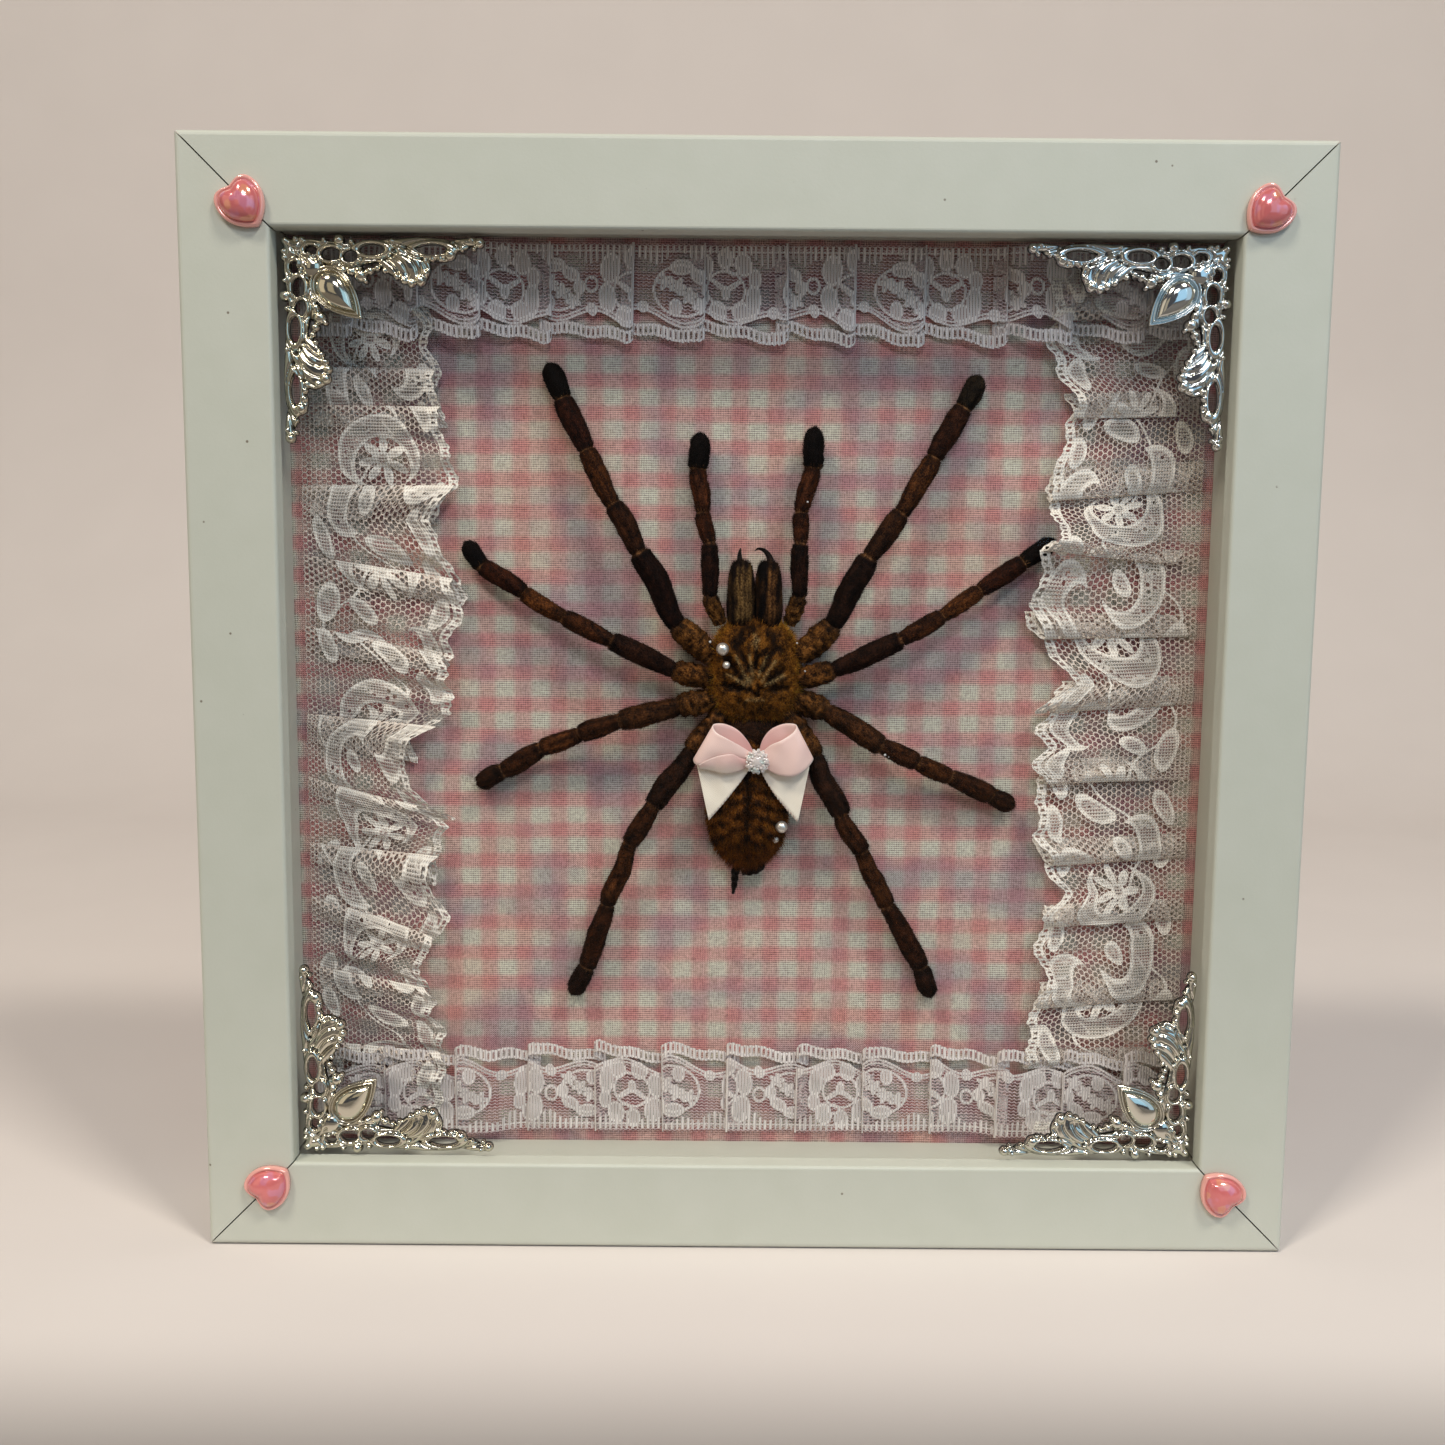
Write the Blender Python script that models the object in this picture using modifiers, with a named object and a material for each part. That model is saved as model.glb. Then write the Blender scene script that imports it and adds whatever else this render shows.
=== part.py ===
# A dried tarantula with a ribbon bow and pearls, on gingham cloth and gathered lace,
# behind glass in a mitred box frame with silver corner ornaments and heart cabochons.
# Metres, +Z up. The front faces -Y and the origin is under the middle of the frame's base.

import math

import bmesh
import bpy
from mathutils import Matrix, Vector

MM = 0.001
GAP = 0.3 * MM  # clearance between pieces that touch

# Frame
FRAME_SIDE = 250 * MM
FRAME_DEPTH = 35 * MM
FACE_WIDTH = 20 * MM
LIP_DEPTH = 5 * MM
WALL_THICKNESS = 12.3 * MM
OUTER_ROUND = 1.2 * MM
INNER_ROUND = 0.8 * MM
BACK_ROUND = 0.5 * MM
GLASS_THICKNESS = 2 * MM
SPACER_WIDTH = 4.7 * MM
CLOTH_DEPTH = 21 * MM  # the cloth's front, behind the frame's front face
CLOTH_THICKNESS = 0.4 * MM
BOARD_THICKNESS = 3 * MM

# Fittings on the back
TAB_LENGTH, TAB_WIDTH, TAB_THICKNESS = 12 * MM, 8 * MM, 0.6 * MM
TAB_OFFSET = 60 * MM  # each side of a rail's middle
HANGER_WIDTH, HANGER_HEIGHT, HANGER_THICKNESS = 42 * MM, 11 * MM, 1.2 * MM
HANGER_DROP = 18 * MM  # below the upper edge of the opening
HANGER_TEETH = 7

# Trim on the front
HEART_WIDTH = 12.2 * MM
HEART_RIM = 1.1 * MM
HEART_DOME = 2.9 * MM
HEART_OFFSET = 110.4 * MM  # from the frame's middle, both ways
ORNAMENT_CORNER = 103.9 * MM  # from the frame's middle to the ornament's own corner
ORNAMENT_PLATE = 1.2 * MM
DROP_LENGTH, DROP_WIDTH, DROP_HEIGHT = 13.6 * MM, 9.2 * MM, 2.6 * MM
DROP_CENTRE = 12.2 * MM  # from the ornament's corner, both ways

# Lace
SIDE_LACE_HALF_LENGTH = 106 * MM
SIDE_LACE_OUTER = 105.5 * MM
SIDE_LACE_EDGES = {  # (height from the frame's middle, distance to the free edge) in millimetres
    "left": ((106, 73), (80, 73), (51, 67.5), (43, 74), (34, 69.5), (25, 66), (9, 71), (-2, 68),
             (-8, 79), (-20, 80), (-29, 70), (-38, 75), (-51, 71), (-63, 78), (-80, 72), (-106, 73)),
    "right": ((106, 68), (84, 66), (70, 73), (51, 67), (43, 69), (30, 63.5), (19, 65), (6, 74),
              (0, 67), (-12, 68), (-30, 67), (-44, 73), (-57, 67.5), (-67, 71), (-76, 66), (-106, 68)),
}
CLAW_LIFT = 5.6  # how far the right lace rides up over a claw, in millimetres
BAND_HALF_LENGTH = 104 * MM
BAND_LOW, BAND_HIGH = 83.5 * MM, 105.5 * MM
PLEAT = 16 * MM
LACE_THICKNESS = 0.5 * MM

# Spider, in millimetres from the frame's middle: (x, z), and heights above the cloth
CARAPACE = {"centre": (1.0, 9.7), "half": (10.4, 10.8), "power": 2.5,
            "base": 5.6, "top": 4.6, "bottom": 3.8, "narrowing": 0.12}
ABDOMEN = {"centre": (-0.4, -21.6), "half": (9.6, 15.8), "power": 2.1,
           "base": 5.4, "top": 4.6, "bottom": 4.8, "narrowing": 0.16}
CHELICERA = {"half": (3.1, 6.7), "power": 3.2, "base": 6.0, "top": 3.6, "bottom": 3.6,
             "narrowing": 0.14}
CHELICERA_CENTRES = {"left": (-2.6, 27.4), "right": (4.4, 27.4)}
FANG_PATHS = {
    "left": ((-2.5, 34.6, 5.2), (-2.9, 36.0, 4.7), (-2.9, 37.3, 4.2), (-2.6, 38.4, 3.6)),
    "right": ((4.6, 34.6, 5.2), (4.2, 36.2, 4.9), (3.0, 37.9, 4.5), (1.4, 38.4, 4.1),
              (0.6, 37.7, 3.7)),
}
FANG_RADII = (0.95, 0.75, 0.5, 0.38, 0.22)
LEG_HEIGHTS = (2.8, 3.2, 4.4, 6.4, 8.0, 6.2, 5.2)  # claw, five joints and the body end
LEG_RADII = (2.25, 2.35, 2.15, 2.3, 2.7, 2.75)  # tarsus to coxa
LEG_GIRTHS = {"leg_1": 1.07, "leg_2": 0.93, "leg_3": 1.0, "leg_4": 1.0}
LEGS = {
    "leg_1_left": ((-47.4, 79.0), (-43.9, 71.1), (-38.3, 59.3), (-31.9, 46.9),
                   (-25.6, 36.0), (-17.1, 19.2), (-10.6, 13.4)),
    "leg_2_left": ((-67.3, 38.1), (-62.6, 32.6), (-52.8, 26.5), (-43.5, 20.9),
                   (-32.4, 15.7), (-17.4, 8.8), (-10.7, 7.2)),
    "leg_3_left": ((-64.4, -19.0), (-58.5, -15.5), (-48.9, -10.0), (-39.8, -6.2),
                   (-30.2, -2.9), (-16.5, 0.5), (-10.5, 1.7)),
    "leg_4_left": ((-42.1, -70.0), (-38.7, -63.0), (-33.4, -47.4), (-28.0, -32.1),
                   (-22.7, -22.8), (-13.2, -10.0), (-9.2, -4.3)),
    "leg_1_right": ((51.9, 77.1), (48.4, 69.7), (41.6, 58.2), (34.1, 45.4),
                    (26.9, 35.3), (18.8, 19.5), (12.9, 13.6)),
    "leg_2_right": ((70.4, 39.8), (63.4, 34.5), (53.3, 27.9), (44.4, 21.9),
                    (34.7, 16.5), (19.3, 9.2), (12.8, 7.3)),
    "leg_3_right": ((63.4, -23.1), (57.3, -20.5), (47.4, -15.9), (38.9, -12.3),
                    (30.7, -8.2), (17.6, -0.2), (12.2, 1.7)),
    "leg_4_right": ((44.6, -69.9), (41.8, -62.4), (33.3, -47.1), (26.4, -33.6),
                    (21.4, -24.7), (14.8, -11.0), (10.9, -4.5)),
}
PALP_HEIGHTS = (2.9, 3.4, 4.8, 6.4, 6.8, 5.4)
PALP_RADII = (2.4, 2.15, 1.95, 2.1, 1.75)
PALPS = {
    "palp_left": ((-12.6, 63.5), (-12.5, 55.2), (-11.5, 45.2), (-9.7, 38.2),
                  (-9.5, 26.0), (-8.0, 21.8)),
    "palp_right": ((14.8, 65.1), (13.5, 55.7), (11.6, 45.4), (11.1, 38.3),
                   (10.7, 26.0), (9.6, 21.8)),
}
SPINNERETS = {
    "spinneret_left": ((-2.0, -37.9, 4.6), (-2.6, -39.6, 4.2), (-2.9, -41.6, 3.9),
                       (-3.5, -44.7, 3.6)),
    "spinneret_right": ((1.6, -38.0, 4.6), (1.2, -39.0, 4.3), (0.8, -40.4, 4.1)),
}
SPINNERET_RADII = (1.2, 0.9, 0.7, 0.4)
PEARLS = {  # where it sits, its diameter and what it sits on
    "pearl_head_large": ((-6.6, 14.2), 3.0, CARAPACE),
    "pearl_head_small": ((-5.7, 10.5), 1.8, CARAPACE),
    "pearl_tail_large": ((7.6, -27.6), 2.9, ABDOMEN),
    "pearl_tail_small": ((6.2, -30.8), 1.8, ABDOMEN),
}

# Bow, in millimetres from its knot; its upper side faces the glass
BOW_CENTRE = (1.6, -11.6)
BOW_LOW, BOW_HIGH, KNOT_HIGH = 9.9, 13.2, 11.2
RIBBON_WIDTH, KNOT_WIDTH, RIBBON_THICKNESS = 9.4, 3.6, 0.4
LOOPS = {"left": (13.6, 158), "right": (12.6, 24)}  # reach and direction in degrees
TAILS = {
    "left": ((-1.2, 0.6), (-13.4, -1.2), (-12.9, -6.6), (-10.9, -13.1), (-1.2, -1.6)),
    "right": ((1.2, 0.6), (12.1, -1.4), (11.6, -6.9), (9.7, -13.6), (1.2, -1.6)),
}
BEAD_RADIUS = 0.95
BEAD_RING, BEAD_HEIGHT = 1.7, 12.45

FRONT_Y = (GAP + HEART_RIM + HEART_DOME - FRAME_DEPTH) / 2
HALF = FRAME_SIDE / 2
OPENING = HALF - FACE_WIDTH
WALL = HALF - WALL_THICKNESS
PANEL = WALL - GAP  # half side of the panes and boards held between the rails
GLASS_FRONT = LIP_DEPTH + GAP
SPACER_FRONT = GLASS_FRONT + GLASS_THICKNESS + GAP
BOARD_FRONT = CLOTH_DEPTH + CLOTH_THICKNESS + GAP
BOARD_BACK = BOARD_FRONT + BOARD_THICKNESS
SIDES = ("top", "right", "bottom", "left")
CORNERS = {"top_left": (-1, 1), "top_right": (1, 1),
           "bottom_right": (1, -1), "bottom_left": (-1, -1)}


def at_depth(x, depth, z):
    """A point x and z from the frame's middle, that far behind its front face."""
    return Vector((x, FRONT_Y + depth, HALF + z))


def on_cloth(x, z, height):
    """A point in millimetres from the frame's middle, at a height above the cloth."""
    return at_depth(x * MM, CLOTH_DEPTH - height * MM, z * MM)


def start_scene():
    for old in list(bpy.data.objects):
        bpy.data.objects.remove(old)
    made = []
    for name in ("framed tarantula specimen", "cutters"):
        collection = bpy.data.collections.new(name)
        bpy.context.scene.collection.children.link(collection)
        made.append(collection)
    made[1].hide_render = True
    return made


PARTS, CUTTERS = start_scene()


def material(name, colour, roughness, metallic=0.0, alpha=1.0):
    made = bpy.data.materials.new(name)
    made.use_nodes = True
    shader = made.node_tree.nodes["Principled BSDF"]
    shader.inputs["Base Color"].default_value = (*colour, 1)
    shader.inputs["Roughness"].default_value = roughness
    shader.inputs["Metallic"].default_value = metallic
    shader.inputs["Alpha"].default_value = alpha
    return made


FINISH = {
    "white_paint": material("white paint", (0.72, 0.73, 0.68), 0.45),
    "glass": material("clear glass", (0.95, 0.97, 0.97), 0.03, alpha=0.15),
    "gingham": material("gingham cotton", (0.62, 0.36, 0.38), 0.9),
    "board": material("fibreboard", (0.42, 0.3, 0.2), 0.85),
    "steel": material("zinc plated steel", (0.6, 0.6, 0.58), 0.35, 1),
    "lace": material("white lace", (0.75, 0.73, 0.7), 0.85),
    "silver": material("silver plate", (0.8, 0.8, 0.79), 0.15, 1),
    "heart": material("pink pearl lacquer", (0.75, 0.35, 0.36), 0.15),
    "pearl": material("pearl", (0.85, 0.84, 0.8), 0.2),
    "satin": material("pink satin ribbon", (0.78, 0.62, 0.58), 0.4),
    "beads": material("clear beads", (0.8, 0.82, 0.8), 0.1),
    "golden": material("golden brown cuticle", (0.23, 0.12, 0.05), 0.7),
    "brown": material("dark brown cuticle", (0.09, 0.045, 0.025), 0.7),
    "black": material("black cuticle", (0.02, 0.013, 0.01), 0.5),
}


def add_object(name, data, finish, collection=PARTS):
    data.materials.append(FINISH[finish])
    made = bpy.data.objects.new(name, data)
    collection.objects.link(made)
    return made


def add_mesh(name, bm, finish, smooth=True, collection=PARTS):
    mesh = bpy.data.meshes.new(name)
    bm.normal_update()
    bmesh.ops.recalc_face_normals(bm, faces=bm.faces)
    bm.to_mesh(mesh)
    bm.free()
    if smooth:
        mesh.shade_smooth()
        mesh.set_sharp_from_angle(angle=math.radians(40))
    return add_object(name, mesh, finish, collection)


def mesh_of(curve_object):
    """The same object as a mesh with its caps welded; the curve is removed."""
    bpy.context.view_layer.update()
    graph = bpy.context.evaluated_depsgraph_get()
    mesh = bpy.data.meshes.new_from_object(curve_object.evaluated_get(graph))
    bm = bmesh.new()
    bm.from_mesh(mesh)
    bmesh.ops.remove_doubles(bm, verts=bm.verts, dist=0.001 * MM)
    bm.to_mesh(mesh)
    bm.free()
    name, matrix = curve_object.name, curve_object.matrix_world.copy()
    collection = curve_object.users_collection[0]
    bpy.data.objects.remove(curve_object)
    made = bpy.data.objects.new(name, mesh)
    made.matrix_world = matrix
    collection.objects.link(made)
    return made


def as_cutter(helper):
    helper.hide_render = True
    helper.display_type = "WIRE"
    for collection in list(helper.users_collection):
        collection.objects.unlink(helper)
    CUTTERS.objects.link(helper)
    return helper


def joined(body, *others):
    """A Boolean union of the body with each of the others, which become helpers."""
    for other in others:
        union = body.modifiers.new("join " + other.name, "BOOLEAN")
        union.operation = "UNION"
        union.object = as_cutter(other)
    return body


def arc(centre, radius, start, end, steps=4):
    """Points on a circle from one angle to another, in degrees."""
    angles = [math.radians(start + (end - start) * i / steps) for i in range(steps + 1)]
    return [(centre[0] + radius * math.cos(a), centre[1] + radius * math.sin(a))
            for a in angles]


def box(name, finish, size, centre, bevel=0.0):
    bm = bmesh.new()
    bmesh.ops.create_cube(bm, size=1, matrix=Matrix.Diagonal((*size, 1)))
    made = add_mesh(name, bm, finish, smooth=False)
    made.location = centre
    if bevel:
        rounding = made.modifiers.new("edges", "BEVEL")
        rounding.width = bevel
        rounding.segments = 1
    return made


def mitred_bar(name, finish, section, side):
    """A bar whose section is (distance from the frame's middle, depth), mitred at 45 degrees."""
    bm = bmesh.new()
    outline = [bm.verts.new((-1, depth, reach)) for reach, depth in section]
    face = bm.faces.new(outline)
    grown = bmesh.ops.extrude_face_region(bm, geom=[face])["geom"]
    for vertex in [v for v in grown if isinstance(v, bmesh.types.BMVert)]:
        vertex.co.x = 1
    for vertex in bm.verts:
        vertex.co.x *= vertex.co.z - GAP / math.sqrt(2)
    made = add_mesh(name, bm, finish)
    made.location = at_depth(0, 0, 0)
    made.rotation_euler.y = SIDES.index(side) * math.pi / 2
    return made


def rail_section():
    """The L of a rail: rounded face edges, a lip in front and a thinner wall behind it."""
    outer, inner, back = OUTER_ROUND, INNER_ROUND, BACK_ROUND
    return [
        *arc((HALF - outer, outer), outer, 0, -90),
        *arc((OPENING + inner, inner), inner, -90, -180),
        (OPENING, LIP_DEPTH),
        (WALL, LIP_DEPTH),
        (WALL, FRAME_DEPTH),
        *arc((HALF - back, FRAME_DEPTH - back), back, 90, 0, 2),
    ]


def spacer_section():
    inner, back = PANEL - SPACER_WIDTH, CLOTH_DEPTH - GAP
    return [(PANEL, SPACER_FRONT), (inner, SPACER_FRONT), (inner, back), (PANEL, back)]


def add_frame():
    for side in SIDES:
        mitred_bar("rail_" + side, "white_paint", rail_section(), side)
        mitred_bar("spacer_" + side, "white_paint", spacer_section(), side)
    panels = (
        ("glass_pane", "glass", GLASS_FRONT, GLASS_THICKNESS, 0.4 * MM),
        ("gingham_cloth", "gingham", CLOTH_DEPTH, CLOTH_THICKNESS, 0),
        ("backing_board", "board", BOARD_FRONT, BOARD_THICKNESS, 0.5 * MM),
    )
    for name, finish, front, thickness, bevel in panels:
        size = (2 * PANEL, thickness, 2 * PANEL)
        box(name, finish, size, at_depth(0, front + thickness / 2, 0), bevel)


def add_tabs():
    """Flat steel points, two to a rail, that hold the backing board in."""
    reach = WALL - GAP - TAB_LENGTH / 2
    depth = BOARD_BACK + GAP + TAB_THICKNESS / 2
    number = 0
    for turn in range(4):
        for offset in (-TAB_OFFSET, TAB_OFFSET):
            number += 1
            spot = Matrix.Rotation(turn * math.pi / 2, 3, "Y") @ Vector((offset, 0, reach))
            tab = box(f"flex_tab_{number}", "steel", (TAB_WIDTH, TAB_THICKNESS, TAB_LENGTH),
                      at_depth(spot.x, depth, spot.z))
            tab.rotation_euler.y = turn * math.pi / 2


def flat_piece(name, finish, loops, thickness, smooth_outline=False):
    """A flat outline with holes, in millimetres, as thick as it says; it faces -Y."""
    curve = bpy.data.curves.new(name, "CURVE")
    curve.dimensions = "2D"
    curve.fill_mode = "BOTH"
    curve.extrude = thickness / 2
    curve.resolution_u = 2
    for loop in loops:
        rounded = smooth_outline and loop is loops[0]
        spline = curve.splines.new("BEZIER" if rounded else "POLY")
        points = spline.bezier_points if rounded else spline.points
        points.add(len(loop) - 1)
        for point, (u, v) in zip(points, loop):
            if rounded:
                point.co = (u * MM, v * MM, 0)
                point.handle_left_type = point.handle_right_type = "AUTO"
            else:
                point.co = (u * MM, v * MM, 0, 1)
        spline.use_cyclic_u = True
    made = add_object(name, curve, finish)
    made.rotation_euler.x = math.pi / 2
    return made


def add_hanger():
    """A sawtooth plate on the backing board, teeth downwards, so that a nail sits in it."""
    half, height = HANGER_WIDTH / MM / 2, HANGER_HEIGHT / MM
    pitch = 2.6
    teeth = []
    for i in range(-HANGER_TEETH, HANGER_TEETH + 1):
        teeth.append((i * pitch / 2, 0.30 * height if i % 2 else 0.45 * height))
    outline = [(-half, 0), (-half, height), (half, height), (half, 0), (half - 5, 0),
               *reversed(teeth), (5 - half, 0)]
    depth = BOARD_BACK + GAP + HANGER_THICKNESS / 2
    plate = flat_piece("hanger_plate", "steel", [outline], HANGER_THICKNESS)
    plate.location = at_depth(0, depth, OPENING - HANGER_DROP - HANGER_HEIGHT)


def rings_mesh(name, finish, rings, apex):
    """A closed form through rings of equal point counts, ending at one point."""
    bm = bmesh.new()
    rows = [[bm.verts.new(point) for point in ring] for ring in rings]
    bm.faces.new(rows[0])
    count = len(rows[0])
    for low, high in zip(rows, rows[1:]):
        for i in range(count):
            j = (i + 1) % count
            bm.faces.new((low[i], low[j], high[j], high[i]))
    top = bm.verts.new(apex)
    for i in range(count):
        bm.faces.new((rows[-1][i], rows[-1][(i + 1) % count], top))
    return add_mesh(name, bm, finish)


def domed_outline(name, finish, outline, rim, step, dome, levels=(0.0, 0.35, 0.65)):
    """An upright rim round the outline, a step in, and a dome over what is left.

    The dome's height over a ring shrunk to s is dome * sqrt(1 - s * s)."""
    def ring(scale, height):
        return [(x * scale, -height, z * scale) for x, z in outline]

    rings = [ring(1, 0), ring(1, rim * 0.75), ring(1 - step / 2, rim)]
    for level in levels:
        share = 1 - level
        rings.append(ring((1 - step) * share, rim + dome * math.sqrt(1 - share * share)))
    return rings_mesh(name, finish, rings, (0, -rim - dome, 0))


def heart_outline(width, count=18):
    """x = 16 sin t |sin t|^1.1 and z = 13 cos t - 4.4 cos 2t - 1.6 cos 3t - 0.7 cos 4t, scaled."""
    angles = [2 * math.pi * i / count for i in range(count)]
    scale = width / 32
    return [(scale * 16 * math.sin(t) * abs(math.sin(t)) ** 1.1,
             scale * (13 * math.cos(t) - 4.4 * math.cos(2 * t) - 1.6 * math.cos(3 * t)
                      - 0.7 * math.cos(4 * t) + 2.5)) for t in angles]


def drop_outline(length, width, count=12):
    """A circle drawn out to a point: x = sin t * sin(t/2)^0.9 and z = cos t, tip upwards."""
    angles = [2 * math.pi * i / count for i in range(count)]
    return [(0.5 * width * math.sin(t) * abs(math.sin(t / 2)) ** 0.9 * 1.12,
             0.5 * length * math.cos(t)) for t in angles]


def add_hearts():
    for corner, (x, z) in CORNERS.items():
        heart = domed_outline("heart_" + corner, "heart", heart_outline(HEART_WIDTH),
                              HEART_RIM, 0.16, HEART_DOME)
        heart.location = at_depth(x * HEART_OFFSET, -GAP, z * HEART_OFFSET)
        heart.rotation_euler.y = math.atan2(x, z)


def ornament_loops():
    """One arm of the filigree from its corner, mirrored about the diagonal, with its holes."""
    edge = [(7.2, 0.4), (10.4, 1.4), (13.1, 0.0), (16.0, 1.2), (19.4, 0.0), (27.0, 0.3),
            (36.0, 0.3), (39.6, 1.6), (44.6, 0.2), (44.2, 2.0), (40.6, 3.4), (39.4, 5.6),
            (34.6, 4.9), (32.8, 8.0), (30.6, 11.0), (26.0, 9.0), (21.6, 7.7), (18.2, 8.8),
            (15.4, 7.0)]
    mirrored = [(v, u) for u, v in reversed(edge)]
    outer = [(0.4, 0.4), (3.4, 1.6), *edge, (10.8, 10.8), *mirrored, (1.6, 3.4)]
    holes = [((6.8, 2.8), 1.4, 1.3), ((11.1, 4.0), 2.0, 1.4), ((15.8, 3.9), 1.6, 1.5),
             ((21.6, 3.0), 2.9, 1.4), ((35.4, 2.6), 3.4, 1.3)]
    loops = [outer]
    for (u, v), long, short in holes:
        oval = [(u + long * math.cos(a * math.pi / 3 + 0.2),
                 v + short * math.sin(a * math.pi / 3 + 0.2)) for a in range(6)]
        loops += [oval, [(q, p) for p, q in oval]]
    return loops


def add_ornaments():
    """The plate lies on the glass with its corner out, and the drop's tip points inwards."""
    depth = GLASS_FRONT - GAP
    for corner, (x, z) in CORNERS.items():
        turned = Matrix.Rotation(math.atan2(x, z) - math.pi / 4, 4, "Y")
        plate = flat_piece("corner_ornament_" + corner, "silver", ornament_loops(),
                           ORNAMENT_PLATE, smooth_outline=True)
        inwards = Matrix.Rotation(math.pi, 4, "Y") @ Matrix.Rotation(math.pi / 2, 4, "X")
        corner_at = Matrix.Translation(
            at_depth(x * ORNAMENT_CORNER, depth - ORNAMENT_PLATE / 2, z * ORNAMENT_CORNER))
        plate.matrix_world = corner_at @ turned @ inwards
        plate = mesh_of(plate)
        drop = domed_outline("drop_" + corner, "silver",
                             drop_outline(DROP_LENGTH, DROP_WIDTH), 1.5 * MM, 0.18,
                             DROP_HEIGHT - 1.5 * MM, (0.0, 0.5))
        offset = ORNAMENT_CORNER - DROP_CENTRE
        drop.location = at_depth(x * offset, depth - 0.15 * MM, z * offset)
        drop.rotation_euler.y = math.atan2(-x, -z)
        joined(plate, drop)


def grid_sheet(name, finish, across, along, surface, thickness):
    """An open grid of cells bent to the surface's points, given its thickness away from the cloth."""
    bm = bmesh.new()
    bmesh.ops.create_grid(bm, x_segments=across, y_segments=along, size=0.5)
    for vertex in bm.verts:
        vertex.co = surface(vertex.co.x + 0.5, vertex.co.y + 0.5)
    bm.normal_update()
    bmesh.ops.recalc_face_normals(bm, faces=bm.faces)
    if sum(face.normal.y for face in bm.faces) > 0:
        bmesh.ops.reverse_faces(bm, faces=bm.faces)
    mesh = bpy.data.meshes.new(name)
    bm.to_mesh(mesh)
    bm.free()
    made = add_object(name, mesh, finish)
    wall = made.modifiers.new("thickness", "SOLIDIFY")
    wall.thickness = thickness
    wall.offset = 1
    return made


def smooth_step(x):
    x = min(1.0, max(0.0, x))
    return x * x * (3 - 2 * x)


def edge_at(points, z):
    """The free edge's distance at a height, straight between the given points."""
    for (high, from_reach), (low, to_reach) in zip(points, points[1:]):
        if z >= low:
            return from_reach + (to_reach - from_reach) * (high - z) / (high - low)
    return points[-1][1]


def side_lace_surface(side):
    """Ruffles that deepen towards the free edge; the right lace lifts over a claw."""
    edges = SIDE_LACE_EDGES["right" if side > 0 else "left"]

    def surface(s, t):
        z = (2 * t - 1) * SIDE_LACE_HALF_LENGTH
        x = SIDE_LACE_OUTER + (edge_at(edges, z / MM) * MM - SIDE_LACE_OUTER) * s
        ruffle = 0.5 - 0.5 * math.cos(2 * math.pi * z / (17 * MM) + 1.5 * s)
        lift = CLAW_LIFT * math.exp(-((z / MM - 38) / 9) ** 2) if side > 0 else 0.0
        height = 0.4 + 1.5 * s * ruffle + lift * smooth_step(2 * s - 0.6)
        return at_depth(side * x, CLOTH_DEPTH - height * MM, z)
    return surface


def band_surface(side):
    """Pleats that step up and fall back, raised at both ends where the side laces run under."""
    def surface(s, t):
        x = (2 * s - 1) * BAND_HALF_LENGTH
        z = side * (BAND_LOW + (BAND_HIGH - BAND_LOW) * t)
        fold = (x / PLEAT) % 1
        pleat = 1.1 * min(fold / 0.85, (1 - fold) / 0.15)
        ends = 2.9 * smooth_step((abs(x) - 54 * MM) / (10 * MM))
        return at_depth(x, CLOTH_DEPTH - (0.4 + pleat + ends) * MM, z)
    return surface


def add_lace():
    for name, side in (("lace_left", -1), ("lace_right", 1)):
        grid_sheet(name, "lace", 2, 25, side_lace_surface(side), LACE_THICKNESS)
    for name, side in (("lace_top", 1), ("lace_bottom", -1)):
        grid_sheet(name, "lace", 39, 1, band_surface(side), LACE_THICKNESS)


def plan_scale(a, b, power):
    """How far a unit direction reaches on the curve |a|^power + |b|^power = 1."""
    return 1 / (abs(a) ** power + abs(b) ** power) ** (1 / power)


def height_over(form, x, z):
    """Height of a pillow form's upper side above the cloth, in millimetres."""
    dx, dz = (x - form["centre"][0]) / form["half"][0], (z - form["centre"][1]) / form["half"][1]
    rho = (abs(dx) ** form["power"] + abs(dz) ** form["power"]) ** (1 / form["power"])
    return form["base"] + form["top"] * math.sqrt(max(0.0, 1 - rho * rho))


def pillow(name, finish, form, relief=None, segments=18, rings=10):
    """A sphere spread over a plan outline: its height is base + top * c, or base + bottom * c below."""
    bm = bmesh.new()
    bmesh.ops.create_uvsphere(bm, u_segments=segments, v_segments=rings, radius=1)
    (cx, cz), (wide, long) = form["centre"], form["half"]
    for vertex in bm.verts:
        a, b, c = vertex.co
        reach = math.hypot(a, b)
        spread = plan_scale(a / reach, b / reach, form["power"]) if reach > 1e-6 else 1.0
        dz = long * b * spread
        dx = wide * a * spread * (1 - form["narrowing"] * dz / long)
        height = form["base"] + (form["top"] if c > 0 else form["bottom"]) * c
        if relief and c > 0:
            height += relief(dx, dz) * smooth_step(2 * c)
        vertex.co = on_cloth(cx + dx, cz + dz, height)
    return add_mesh(name, bm, finish)


def bump(x, z, centre, width):
    return math.exp(-((x - centre[0]) ** 2 + (z - centre[1]) ** 2) / width ** 2)


def carapace_relief(x, z):
    """A raised head, the eye mound at its front, the pit behind it and the furrows from the pit."""
    head = 0.7 * bump(x, z, (0, 5), 4.5)
    eyes = 0.8 * bump(x, z, (0.7, 9.0), 1.5)
    pit = -1.0 * bump(x, z, (-1.0, -3.0), 1.5)
    angle = math.atan2(z + 3.0, x + 1.0)
    furrows = -0.3 * math.cos(8 * angle) ** 6 * (1 - bump(x, z, (-1.0, -3.0), 2.5))
    return head + eyes + pit + furrows


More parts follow.
